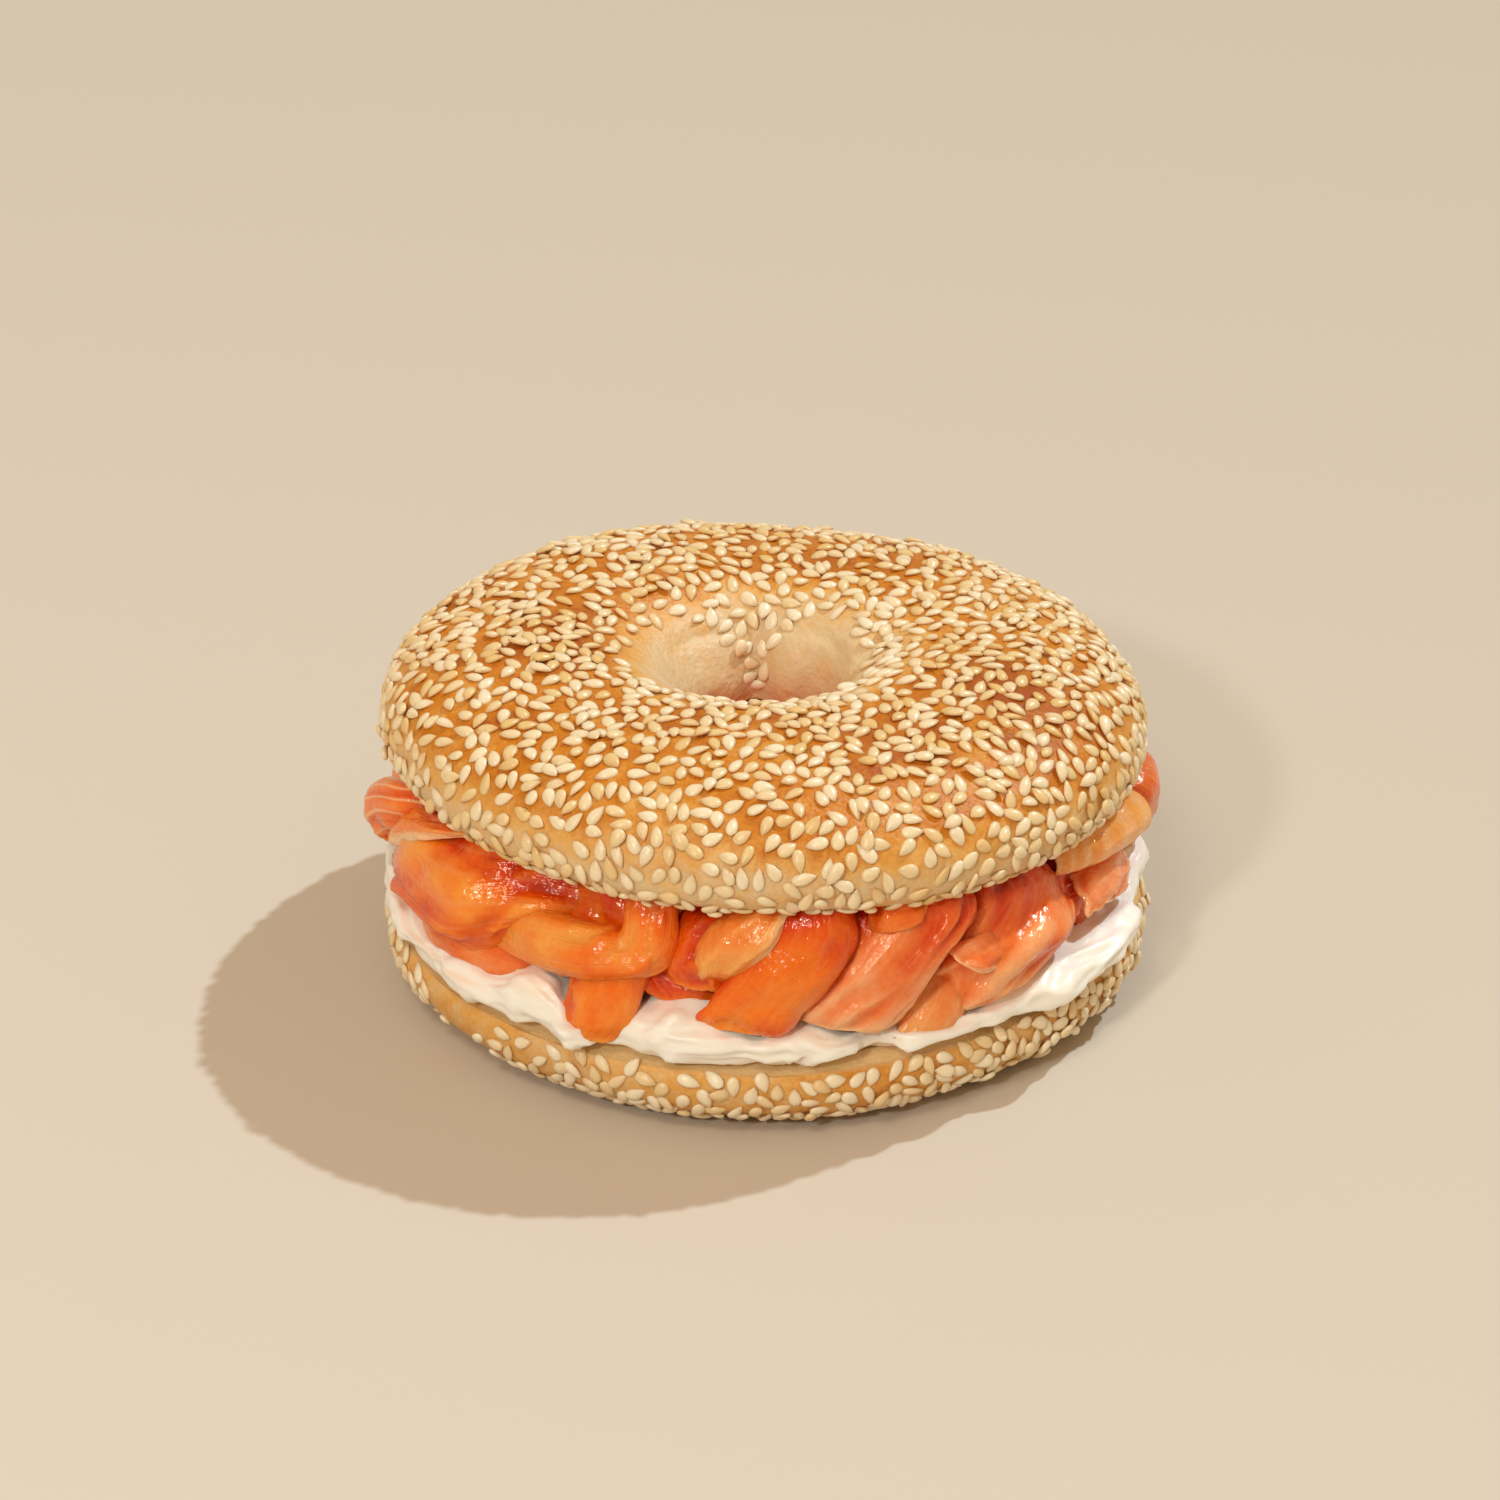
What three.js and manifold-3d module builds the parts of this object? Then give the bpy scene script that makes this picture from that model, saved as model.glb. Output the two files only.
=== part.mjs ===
// A sesame bagel filled with cream cheese and folded slices of smoked salmon.
// Millimetres, +Z up. The origin is the middle of the footprint, on the surface that the bagel rests on.
// Angles round the ring are in degrees: 0 is the front (-Y), and they grow towards the right (+X).
import * as THREE from "three";
import { ParametricGeometry } from "three/addons/geometries/ParametricGeometry.js";
import { mergeVertices } from "three/addons/utils/BufferGeometryUtils.js";
import Module from "manifold-3d";

const wasm = await Module();
wasm.setup();

// ---- driving sizes ----

const BASE_RADIUS = 56.2; // the lower half, at its widest
const BASE_HEIGHT = 11.4; // up to its cut face
const BASE_HOLE = 9; // radius of the hole through the lower half
const BASE_FOOT = 44; // radius of the flat that it rests on
const BASE_WAIST = 8; // height at which it is widest
const BASE_EXPONENT = 2.1; // of the superellipse that rounds its outside

const CROWN_RADIUS = 56; // the upper half, at its widest
const CROWN_CUT_RADIUS = 51.7; // the rim of its cut face
const CROWN_WAIST = 4.4; // from its cut face up to its widest ring
const CROWN_HEIGHT = 16.5; // from its cut face up to its top
const CROWN_RING = 32; // radius of the ridge along its top
const CROWN_EXPONENT = 2.2; // of the superellipse that rounds its outside
const CROWN_HOLE = 11.5; // radius of the hole at its narrowest
const CROWN_LIFT = 33.7; // height of its cut face over the table
const CROWN_TILT_X = -0.032; // rise for each mm to the right
const CROWN_TILT_Y = -0.033; // rise for each mm to the back

const CREAM_HEIGHT = 4.6;
const SALMON_THICKNESS = 1.8;
const HEAP_RADIUS = 45; // the folded slices in the middle, out to here
const POUCH_ANGLE = -29; // where they stand back behind the pouch
const SLICE_GRID = [6, 8]; // steps along and across a slice
const SCRAP_GRID = [4, 7];
const CURL_GRID = [4, 12];
const CROWN_SEGMENTS = 42;
const BASE_SEGMENTS = 40;
const CREAM_SEGMENTS = 38;
const HEAP_SEGMENTS = 30;

const GAP = 0.3; // left between pieces that lie on each other
const SLICE_GAP = 0.42; // and between two slices

const SEED = { length: 3.3, width: 2, thickness: 1.15, sink: 0.25 };
const CROWN_SEEDS = 92;
const BASE_SEEDS = 32;
const SEED_SPACING = 6;

// ---- small helpers ----

const rad = THREE.MathUtils.degToRad;

const ringPoint = (angle, radius, height) =>
  new THREE.Vector3(radius * Math.sin(angle), -radius * Math.cos(angle), height);

const smoothBump = (distance, width) => Math.exp(-((distance / width) ** 2));

const angleFrom = (angle, centre) => Math.atan2(Math.sin(angle - centre), Math.cos(angle - centre));

// A sine or cosine bent so that an ellipse drawn with it becomes a superellipse.
const bent = (x, exponent) => Math.sign(x) * Math.abs(x) ** (2 / exponent);

// A quarter of a superellipse from angle `from` to `to`, as [radius, height] pairs.
function roundedCorner([centreR, centreZ], [halfR, halfZ], [from, to], exponent, steps) {
  const points = [];
  for (let i = 1; i <= steps; i++) {
    const a = rad(THREE.MathUtils.lerp(from, to, i / steps));
    const reach = halfR * bent(Math.cos(a), exponent);
    points.push([centreR + reach, centreZ + halfZ * bent(Math.sin(a), exponent)]);
  }
  return points;
}

// A closed ring: place(angle, i) gives the surface point for corner i of its closed section.
function ringGeometry(segments, corners, place) {
  return new ParametricGeometry(
    (u, v, target) => {
      const angle = (Math.round(u * segments) % segments) * ((2 * Math.PI) / segments);
      target.copy(place(angle, Math.round(v * corners) % corners));
    },
    segments,
    corners,
  );
}

function solid(geometry) {
  const bare = geometry.index ? geometry.toNonIndexed() : geometry.clone();
  bare.deleteAttribute("normal");
  bare.deleteAttribute("uv");
  const merged = mergeVertices(bare, 1e-4);
  const corners = [...merged.index.array];
  const triangles = [];
  for (let i = 0; i < corners.length; i += 3) {
    const [a, b, c] = corners.slice(i, i + 3);
    if (a !== b && b !== c && c !== a) triangles.push(a, b, c);
  }
  const build = (indices) =>
    new wasm.Manifold(
      new wasm.Mesh({
        numProp: 3,
        vertProperties: merged.attributes.position.array,
        triVerts: new Uint32Array(indices),
      }),
    );
  const made = build(triangles);
  return made.volume() > 0 ? made : build(triangles.reverse());
}

// The largest piece of a cut solid: what a cut shears off is dropped.
const largest = (body) =>
  body.decompose().reduce((best, piece) => (piece.volume() > best.volume() ? piece : best));

function geometryOf(body) {
  const { vertProperties, triVerts, numProp } = body.getMesh();
  const positions = new Float32Array((vertProperties.length / numProp) * 3);
  for (let i = 0; i < positions.length / 3; i++) {
    positions.set(vertProperties.subarray(i * numProp, i * numProp + 3), i * 3);
  }
  return new THREE.BufferGeometry()
    .setAttribute("position", new THREE.BufferAttribute(positions, 3))
    .setIndex(new THREE.BufferAttribute(new Uint32Array(triVerts), 1));
}

// ---- the two halves of bread ----

// How gently the dough slopes into the hole, 0 to 1: most at the back left, least at the front right.
const slopeInto = (angle) => (0.5 + 0.5 * Math.cos(angle - rad(-125))) ** 1.3;

// The rounded corner between the top and the wall of the hole: its centre's height and its exponent.
const innerCorner = (angle) => ({
  low: THREE.MathUtils.lerp(6.5, 2, slopeInto(angle)),
  exponent: THREE.MathUtils.lerp(2.6, 2, slopeInto(angle)),
});

// The upper half's section from the hole's lower rim round to the hole again; z = 0 is its cut face.
function crownSection(angle, grow) {
  const { low, exponent } = innerCorner(angle);
  return [
    [CROWN_HOLE + 0.6 - grow, -grow],
    [CROWN_RING, -grow],
    [CROWN_CUT_RADIUS + grow, -grow],
    [CROWN_RADIUS - 1.3 + grow, CROWN_WAIST * 0.38],
    [CROWN_RADIUS + grow, CROWN_WAIST],
    ...roundedCorner(
      [CROWN_RING, CROWN_WAIST],
      [CROWN_RADIUS - CROWN_RING + grow, CROWN_HEIGHT - CROWN_WAIST + grow],
      [0, 90],
      CROWN_EXPONENT,
      6,
    ),
    ...roundedCorner(
      [CROWN_RING, low],
      [CROWN_RING - CROWN_HOLE + grow, CROWN_HEIGHT - low + grow],
      [90, 180],
      exponent,
      6,
    ),
  ];
}

// What makes the upper half uneven: a pale funnel on the hole's left, a pinched seam where the dough's ends
// meet on its right, a groove between two lobes in the hole's back wall, and a slightly lobed outline.
function unevenCrown(angle, radius, height) {
  const inside = THREE.MathUtils.clamp((CROWN_RING - radius) / (CROWN_RING - CROWN_HOLE), 0, 1);
  const above = THREE.MathUtils.clamp(height / CROWN_HEIGHT, 0, 1);
  const outline = 1 + 0.008 * Math.cos(2 * angle + 0.6) + 0.006 * Math.cos(3 * angle - 1);
  const funnel = 1.6 * smoothBump(angleFrom(angle, rad(-95)), 0.8) * inside * above;
  const seamAngle = rad(132 - 32 * inside);
  const seam = 2.4 * smoothBump(angleFrom(angle, seamAngle), 0.16) * inside * above;
  const groove = 1.7 * smoothBump(angleFrom(angle, rad(188)), 0.26) * inside ** 2;
  const lobe = smoothBump(angleFrom(angle, rad(160)), 0.3) * inside ** 2;
  const swell = 0.5 * Math.cos(2 * angle - 2.2) + 0.4 * Math.cos(5 * angle + 0.5);
  return [radius * outline + groove - lobe, height + above * (swell * (1 - inside) - funnel - seam)];
}

function placeCrown(angle, radius, height) {
  const [r, z] = unevenCrown(angle, radius, height);
  const point = ringPoint(angle, r, CROWN_LIFT + z);
  point.z += CROWN_TILT_X * point.x + CROWN_TILT_Y * point.y;
  return point;
}

function crownBread(segments, grow = 0) {
  const corners = crownSection(0, grow).length;
  const place = (angle, i) => placeCrown(angle, ...crownSection(angle, grow)[i]);
  return solid(ringGeometry(segments, corners, place));
}

// The lower half's section, from the hole's lower rim outwards.
function baseSection() {
  return [
    [BASE_HOLE + 4, 0],
    [(BASE_HOLE + BASE_FOOT) / 2, 0],
    [BASE_FOOT, 0],
    ...roundedCorner(
      [BASE_FOOT, BASE_WAIST],
      [BASE_RADIUS - BASE_FOOT, BASE_WAIST],
      [-90, 0],
      BASE_EXPONENT,
      5,
    ),
    [BASE_RADIUS - 0.6, BASE_HEIGHT - 1.4],
    [BASE_RADIUS - 4, BASE_HEIGHT],
    [CROWN_RING, BASE_HEIGHT],
    [BASE_HOLE + 0.8, BASE_HEIGHT],
    [BASE_HOLE, BASE_HEIGHT / 2],
    [BASE_HOLE + 1, 1.2],
  ];
}

function placeBase(angle, radius, height) {
  const outer = THREE.MathUtils.clamp((radius - BASE_FOOT) / (BASE_RADIUS - BASE_FOOT), 0, 1);
  const outline = 0.5 * Math.cos(2 * angle + 1.2) + 0.35 * Math.cos(5 * angle);
  return ringPoint(angle, radius + outer * outline, height);
}

function baseBread(segments) {
  const section = baseSection();
  return solid(ringGeometry(segments, section.length, (angle, i) => placeBase(angle, ...section[i])));
}

// ---- sesame seeds ----

// A flat teardrop that lies along X, its blunt end at -X.
function seedGeometry() {
  const outline = [
    [0, -0.5],
    [0.48, -0.22],
    [0.4, 0.12],
    [0, 0.5],
  ].map(([r, y]) => new THREE.Vector2(r * SEED.width, y * SEED.length));
  return new THREE.LatheGeometry(outline, 5)
    .rotateZ(-Math.PI / 2)
    .scale(1, 1, SEED.thickness / SEED.width);
}

// Seeds spread over a surface by a rule: a seeded draw keeps each place that is far enough from the others.
function seedMatrices(surface, draw, accept, count) {
  const kept = [];
  for (let tries = 0; tries < 40 * count && kept.length < count; tries++) {
    const { angle, across } = draw();
    const here = surface(angle, across);
    const turn = THREE.MathUtils.seededRandom() * Math.PI * 2;
    if (!accept(angle, here) || kept.some((m) => m.at.distanceTo(here) < SEED_SPACING)) continue;
    const alongRing = surface(angle + 0.01, across).sub(here);
    const acrossRing = surface(angle, across + 0.01).sub(here);
    const normal = alongRing.clone().cross(acrossRing).normalize();
    const first = alongRing.normalize().applyAxisAngle(normal, turn);
    const second = normal.clone().cross(first);
    const matrix = new THREE.Matrix4().makeBasis(first, second, normal);
    matrix.setPosition(here.clone().addScaledVector(normal, SEED.sink));
    kept.push({ at: here, matrix });
  }
  return kept.map((m) => m.matrix);
}

const seeds = (matrices) => matrices.map((m) => solid(seedGeometry().applyMatrix4(m)));

// The crown's seeded surface: across runs from 0 just under its widest ring to 1 inside the hole.
function crownSurface(angle, across) {
  const turn = rad(THREE.MathUtils.lerp(-8, 150, across));
  const outer = turn < Math.PI / 2;
  const { low, exponent } = outer ? { low: CROWN_WAIST, exponent: CROWN_EXPONENT } : innerCorner(angle);
  const half = outer ? CROWN_RADIUS - CROWN_RING : CROWN_RING - CROWN_HOLE;
  const radius = CROWN_RING + half * bent(Math.cos(turn), exponent);
  return placeCrown(angle, radius, low + (CROWN_HEIGHT - low) * bent(Math.sin(turn), exponent));
}

function baseSurface(angle, across) {
  const turn = rad(THREE.MathUtils.lerp(-62, 0, across));
  return placeBase(
    angle,
    BASE_FOOT + (BASE_RADIUS - BASE_FOOT) * bent(Math.cos(turn), BASE_EXPONENT),
    BASE_WAIST * (1 + bent(Math.sin(turn), BASE_EXPONENT)),
  );
}

const drawPlace = () => ({
  angle: THREE.MathUtils.seededRandom() * 2 * Math.PI,
  across: THREE.MathUtils.seededRandom(),
});

// The wall of the hole stays almost bare, and so does the lower half's left front.
const crownTakesSeeds = (angle, here) =>
  Math.hypot(here.x, here.y) > 21.5 - 5.5 * Math.cos(angle - rad(40));
const baseTakesSeeds = (angle, here) =>
  here.z > SEED.width && Math.abs(angleFrom(angle, rad(-58))) > rad(16);

function seededBread(bread, surface, accept, count, start) {
  THREE.MathUtils.seededRandom(start);
  const matrices = seedMatrices(surface, drawPlace, accept, count);
  return largest(wasm.Manifold.union([bread, ...seeds(matrices)]));
}

// ---- cream cheese ----

// The spread's lobed edge: [angle, radius].
const CREAM_EDGE = [
  [-73, 57.2],
  [-56, 57.8],
  [-40, 58.6],
  [-28, 58],
  [-23, 55.4],
  [-12, 57.6],
  [2, 56.4],
  [13, 54.8],
  [17, 53.4],
  [21, 56],
  [38, 57],
  [55, 57.2],
  [75, 55.8],
  [95, 56.4],
  [115, 55],
  [140, 57.4],
  [160, 55.8],
  [180, 57.2],
  [198, 56],
  [215, 57.6],
  [232, 55.6],
  [255, 57],
  [270, 56.2],
];

// The value at an angle in a table of [angle, value] pairs, smooth between them.
function around(table, angle) {
  const [[start, first]] = table;
  const degrees = start + THREE.MathUtils.euclideanModulo(THREE.MathUtils.radToDeg(angle) - start, 360);
  const pairs = [...table, [start + 360, first]];
  const next = pairs.findIndex(([at]) => at > degrees);
  const [[a, valueA], [b, valueB]] = [pairs[next - 1], pairs[next]];
  return THREE.MathUtils.lerp(valueA, valueB, THREE.MathUtils.smoothstep(degrees, a, b));
}

// Height of the spread's top over its underside: two long swirls from the knife, and a dip over the hole.
function creamTop(angle, share) {
  const swirl = 0.5 * Math.cos(3 * angle + 9 * share) + 0.35 * Math.cos(7 * angle - 6 * share + 1);
  const round = (1 - share ** 24) ** 0.5;
  return (CREAM_HEIGHT + swirl * share ** 8 - 1.6 * smoothBump(share, 0.22)) * round;
}

function creamCheese(segments, grow = 0) {
  const floor = BASE_HEIGHT + GAP;
  const under = [0.1, 0.5, 0.93, 0.985].map((share) => ({ share, height: () => -grow }));
  const over = [0.985, 0.94, 0.86, 0.72, 0.45, 0.22].map((share) => ({
    share,
    height: (angle) => creamTop(angle, share) + grow,
  }));
  const section = [...under, { share: 1, height: () => CREAM_HEIGHT * 0.4 }, ...over];
  const place = (angle, { share, height }) =>
    ringPoint(angle, share * (around(CREAM_EDGE, angle) + grow), floor + height(angle));
  return solid(cappedDisc(segments, section, place));
}

// A disc with no hole: its section starts on the axis at the underside and ends on the axis at the top.
function cappedDisc(segments, section, place) {
  const mean = (row) => {
    let sum = 0;
    for (let i = 0; i < segments; i++) sum += place((2 * Math.PI * i) / segments, row).z;
    return sum / segments;
  };
  const ends = [section[0], section.at(-1)].map((row) => new THREE.Vector3(0, 0, mean(row)));
  const rows = section.length + 1;
  return new ParametricGeometry(
    (u, v, target) => {
      const i = Math.round(v * rows);
      const angle = (Math.round(u * segments) % segments) * ((2 * Math.PI) / segments);
      if (i === 0 || i === rows) target.copy(ends[i ? 1 : 0]);
      else target.copy(place(angle, section[i - 1]));
    },
    segments,
    rows,
  );
}

// ---- smoked salmon ----

// Each slice is a sheet that bulges outwards between two edges. An edge is a curve through a few
// [angle, radius, height] points on its inner face. `bulge` says how far that face stands out between its
// edges, from one end of them to the other, `lean` moves the bulge towards the first (-) or second (+)
// edge, and `tuck` is how far the sheet goes on inwards behind each edge.
const SLICES = {
  salmon_left_tail: {
    edges: [
      [[-68, 46, 32.5], [-73, 52.5, 33], [-81, 56, 30], [-86, 57.2, 25.5], [-87, 57.4, 21.6]],
      [[-66, 46, 28], [-74, 51.5, 26], [-80, 54.4, 24], [-82, 56, 22.8], [-84, 56.4, 20.8]],
    ],
    bulge: [1.6, 2.6, 2, 1, 0.4],
    tuck: [3, 1],
  },
  salmon_left_shoulder: {
    edges: [
      [[-48, 47, 37], [-62, 50.5, 33.4], [-72, 51, 29.6], [-80, 52, 25.4]],
      [[-46, 48, 36.8], [-58, 52.5, 33.2], [-68, 55, 28.4], [-79, 55.6, 21.6]],
    ],
    bulge: [0.4, 1, 1.4, 1],
    tuck: [1, 1],
  },
  salmon_left_belly: {
    edges: [
      [[-82, 51, 21.6], [-68, 49.6, 29.4], [-52, 49, 33], [-40, 46, 32], [-28, 43.6, 30.5]],
      [[-77, 53.4, 17.8], [-66, 54.5, 19.2], [-50, 53, 19.6], [-40, 50, 23.8], [-28, 45, 25.2]],
    ],
    bulge: [1.4, 4, 5, 3, 1.5],
    lean: 0.25,
    tuck: [1, 4],
  },
  salmon_left_under: {
    edges: [
      [[-70, 49, 20.6], [-55, 48, 20.5], [-42, 47, 21], [-34, 46, 22.4]],
      [[-65, 54, 17.2], [-54, 54.2, 16.9], [-44, 52.8, 17.2], [-37, 50.6, 18]],
    ],
    bulge: [1.2, 1.8, 1.8, 1.2],
    lean: 0.1,
    tuck: [0.5, 0.8],
    grid: SCRAP_GRID,
  },
  salmon_pouch: {
    edges: [
      [[-47, 49.4, 23.4], [-35, 51.5, 27.2], [-25, 51.5, 27.4], [-21, 50.5, 28], [-21, 48, 36]],
      [[-46, 52, 20.2], [-32, 53.5, 22.6], [-24, 53.5, 23.8], [-16.5, 52, 26], [-15, 49, 36]],
    ],
    bulge: [1.4, 2.4, 2.8, 2.8, 1.8],
    tuck: [1, 0.6],
    also: {
      edges: [
        [[-29, 51.5, 24.5], [-29.5, 53.6, 19.4], [-29, 53.8, 15.8], [-26.8, 53, 13.6]],
        [[-19, 51, 25], [-20.6, 52.5, 21], [-23, 53, 16.8], [-25.4, 53, 13.8]],
      ],
      bulge: [2.4, 2.4, 2, 0.8],
      tuck: [1, 1],
      grid: SCRAP_GRID,
    },
  },
  salmon_torn_edge: {
    edges: [
      [[-12, 46.6, 33], [-14.4, 48, 29], [-15, 49.4, 24], [-12.5, 50.8, 20.4]],
      [[2, 48, 36], [0.5, 50.4, 32.4], [-3, 50.8, 26.4], [-6.5, 50.6, 20.6]],
    ],
    bulge: [1, 2.8, 3.2, 1.4],
    lean: 0.2,
    tuck: [2, 0.5],
  },
  salmon_torn_scrap: {
    edges: [
      [[-20, 48, 25], [-19, 50, 21], [-15, 51, 18]],
      [[-11, 46, 24], [-10, 49, 21], [-8, 50.4, 18.6]],
    ],
    bulge: [0.6, 0.8, 0.6],
    tuck: [1, 1],
    grid: SCRAP_GRID,
  },
  salmon_middle: {
    edges: [
      [[5, 48, 36], [3, 50.5, 31.8], [-2.6, 52.5, 25.6], [-7, 53.4, 20], [-8.6, 53.6, 16.6]],
      [[11.5, 49, 36], [12, 52.5, 30.4], [9, 54, 25], [4, 54.2, 19.6], [0, 54, 15.6]],
    ],
    bulge: [2, 3.2, 3.4, 2.6, 1.4],
    lean: 0.2,
    tuck: [0.8, 1.5],
  },
  salmon_middle_right: {
    edges: [
      [[16, 47.4, 35.6], [15, 48.8, 29.6], [12, 50.2, 24.4], [7.5, 51.4, 19.6], [5.5, 52, 16.4]],
      [[32, 48, 35], [32.5, 51.6, 30], [25.5, 53.6, 25.4], [20.5, 53.8, 19.4], [15, 53.6, 14.4]],
    ],
    bulge: [2.2, 3.6, 3.8, 2.6, 1.2],
    lean: 0.3,
    tuck: [1, 1],
  },
  salmon_right: {
    edges: [
      [[38, 47.4, 34.4], [36, 50, 29], [28.5, 51.6, 23.6], [30, 52.4, 19.4], [29.6, 53, 15]],
      [[50, 47.4, 32.4], [57, 47, 24.4], [52, 53.2, 21], [40.5, 53.6, 17.4], [32.5, 53.2, 14.8]],
    ],
    bulge: [1.5, 3.2, 4, 2.4, 0.8],
    lean: 0.3,
    tuck: [2, 1],
  },
  salmon_right_low: {
    edges: [
      [[27, 48, 23], [24.6, 51, 19.4], [19.6, 52.2, 15.2]],
      [[34, 47, 22], [30.4, 50, 18], [26.6, 52, 14.4]],
    ],
    bulge: [1, 1.4, 1],
    tuck: [1, 1],
    grid: SCRAP_GRID,
  },
  salmon_right_scrap: {
    edges: [
      [[60, 48, 25], [68, 51.5, 24.4], [76, 53, 23]],
      [[58, 53, 20.6], [65, 54, 20.6], [76, 54.4, 18]],
    ],
    bulge: [1.2, 1.8, 1.2],
    tuck: [0.5, 0.5],
    grid: SCRAP_GRID,
  },
  salmon_back_right: {
    edges: [
      [[82, 47.5, 32], [81, 51.5, 27], [85, 53, 21.4], [90, 53.2, 15.4]],
      [[102, 47.5, 32], [103, 51.5, 27], [107, 53, 20.4], [106, 53.2, 15.4]],
    ],
    bulge: [1.2, 5.6, 4.4, 1.4],
    lean: -0.2,
    tuck: [3, 3],
  },
  salmon_back_pleat: {
    edges: [
      [[104, 47.5, 32], [105, 51, 27], [109, 52.6, 21], [108, 53, 15.4]],
      [[121, 47.5, 32], [123, 51, 27], [124, 52.6, 21], [121, 53, 15.4]],
    ],
    bulge: [1.6, 2.4, 2.6, 1.2],
    lean: 0.2,
    tuck: [2, 2],
    grid: SCRAP_GRID,
  },
  salmon_back_belly: {
    edges: [
      [[125, 46, 28], [140, 50, 29], [158, 50, 29], [171, 46, 28]],
      [[124, 52, 18.8], [138, 53.4, 18.6], [156, 53.4, 18.4], [171, 51, 20]],
    ],
    bulge: [2, 4, 4.2, 2],
    lean: 0.2,
    tuck: [2, 3],
  },
  salmon_back_fold: {
    edges: [
      [[171, 47, 33], [173, 51.5, 27.5], [179, 53, 21.4], [183, 53.2, 15.4]],
      [[189, 47.5, 33], [192, 51.5, 27.5], [197, 53, 20.4], [196, 53.2, 15.4]],
    ],
    bulge: [2, 3.4, 3.2, 1.4],
    lean: -0.2,
    tuck: [3, 3],
  },
  salmon_back_drape: {
    edges: [
      [[191, 47.5, 33], [194, 51, 27], [199, 52.6, 21], [199, 53, 15.4]],
      [[208, 47.5, 33], [210, 51, 27], [212, 52.6, 21], [213, 53, 15.4]],
    ],
    bulge: [1.6, 2.6, 2.4, 1.2],
    lean: 0.2,
    tuck: [2, 2],
    grid: SCRAP_GRID,
  },
  salmon_back_left: {
    edges: [
      [[210, 47.5, 33], [212, 51.5, 28], [214, 53, 21.4], [216, 53.2, 15.4]],
      [[230, 47.5, 34], [232, 51.5, 28], [231, 53, 21.4], [232, 53.2, 15.4]],
    ],
    bulge: [2, 3.2, 3.4, 1.4],
    lean: 0.2,
    tuck: [3, 3],
  },
  salmon_left_back: {
    edges: [
      [[234, 47, 31], [247, 51, 31], [259, 50, 30], [268, 48, 28]],
      [[234, 52, 18.8], [247, 53.6, 18.4], [260, 53.2, 18.6], [270, 50, 20]],
    ],
    bulge: [2, 3.6, 3.4, 1.6],
    lean: 0.2,
    tuck: [2, 3],
  },
};

// The slice that is rolled up at the right: a spiral about an axis, wider at its outer end.
const CURL = {
  axis: [[55, 49, 28.6], [63, 51.6, 28.8], [77, 54.6, 28]],
  radius: [3.4, 5.2], // at the inner and outer end
  start: 150, // degrees from straight out, upwards, where the sheet comes from
  sweep: 410, // degrees that it goes round
  shrink: 0.7, // share of the radius lost over the sweep
  thickness: 1.1,
};

const curveThrough = (points) =>
  new THREE.CatmullRomCurve3(
    points.map(([angle, r, z]) => ringPoint(rad(angle), r, z)),
    false,
    "catmullrom",
  );

// A value that runs smoothly through the listed ones as the share u goes from 0 to 1.
function along(values, u) {
  const at = u * (values.length - 1);
  const i = Math.min(Math.floor(at), values.length - 2);
  return THREE.MathUtils.lerp(values[i], values[i + 1], THREE.MathUtils.smoothstep(at - i, 0, 1));
}

// Outwards from the ring's axis and slightly up, square to `line`.
function outwards(at, line) {
  const out = new THREE.Vector3(at.x, at.y, 0).normalize();
  out.z = 0.35;
  return out.projectOnPlane(line.clone().normalize()).normalize();
}

const TUCK_SHARE = 0.16; // share of v taken by each tuck

// A slice's face, u along its edges and v from the first one's tuck to the second one's. Its other face
// is the same one with a larger outset.
function bulgedSurface({ edges, bulge, lean = 0, tuck }) {
  const [first, second] = edges.map(curveThrough);
  return (u, v, outset) => {
    const [start, end] = [first.getPoint(u), second.getPoint(u)];
    const middle = start.clone().add(end).divideScalar(2);
    const half = end.sub(start).divideScalar(2);
    const out = outwards(middle, half);
    half.setLength(half.length() + outset);
    const [before, after] = [1 - v / TUCK_SHARE, 1 - (1 - v) / TUCK_SHARE];
    if (before > 0) return middle.sub(half).addScaledVector(out, -tuck[0] * before);
    if (after > 0) return middle.add(half).addScaledVector(out, -tuck[1] * after);
    const turn = (Math.PI * (v - TUCK_SHARE)) / (1 - 2 * TUCK_SHARE);
    const across = -Math.sign(Math.cos(turn)) * Math.abs(Math.cos(turn)) ** 0.85;
    const height = Math.sin(turn) ** 0.85;
    return middle
      .addScaledVector(half, across + lean * height * (1 - across ** 2))
      .addScaledVector(out, (along(bulge, u) + outset) * height);
  };
}

function curlSurface({ axis, radius, start, sweep, shrink }) {
  const line = curveThrough(axis);
  return (u, v, outset) => {
    const at = line.getPoint(u);
    const out = outwards(at, line.getTangent(u));
    const up = line.getTangent(u).cross(out).negate();
    if (up.z < 0) up.negate();
    const turn = rad(start - sweep * v);
    const reach = THREE.MathUtils.lerp(...radius, u) * (1 - shrink * v) + outset;
    return at.addScaledVector(out, reach * Math.cos(turn)).addScaledVector(up, reach * Math.sin(turn));
  };
}

// Steps from 0 to 1 whose first and last are short, so that the sheet keeps its thickness to near its edge.
const sheetSteps = (count) => (i) =>
  i === 0 ? 0 : i === count ? 1 : THREE.MathUtils.lerp(0.04, 0.96, (i - 1) / (count - 2));

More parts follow.
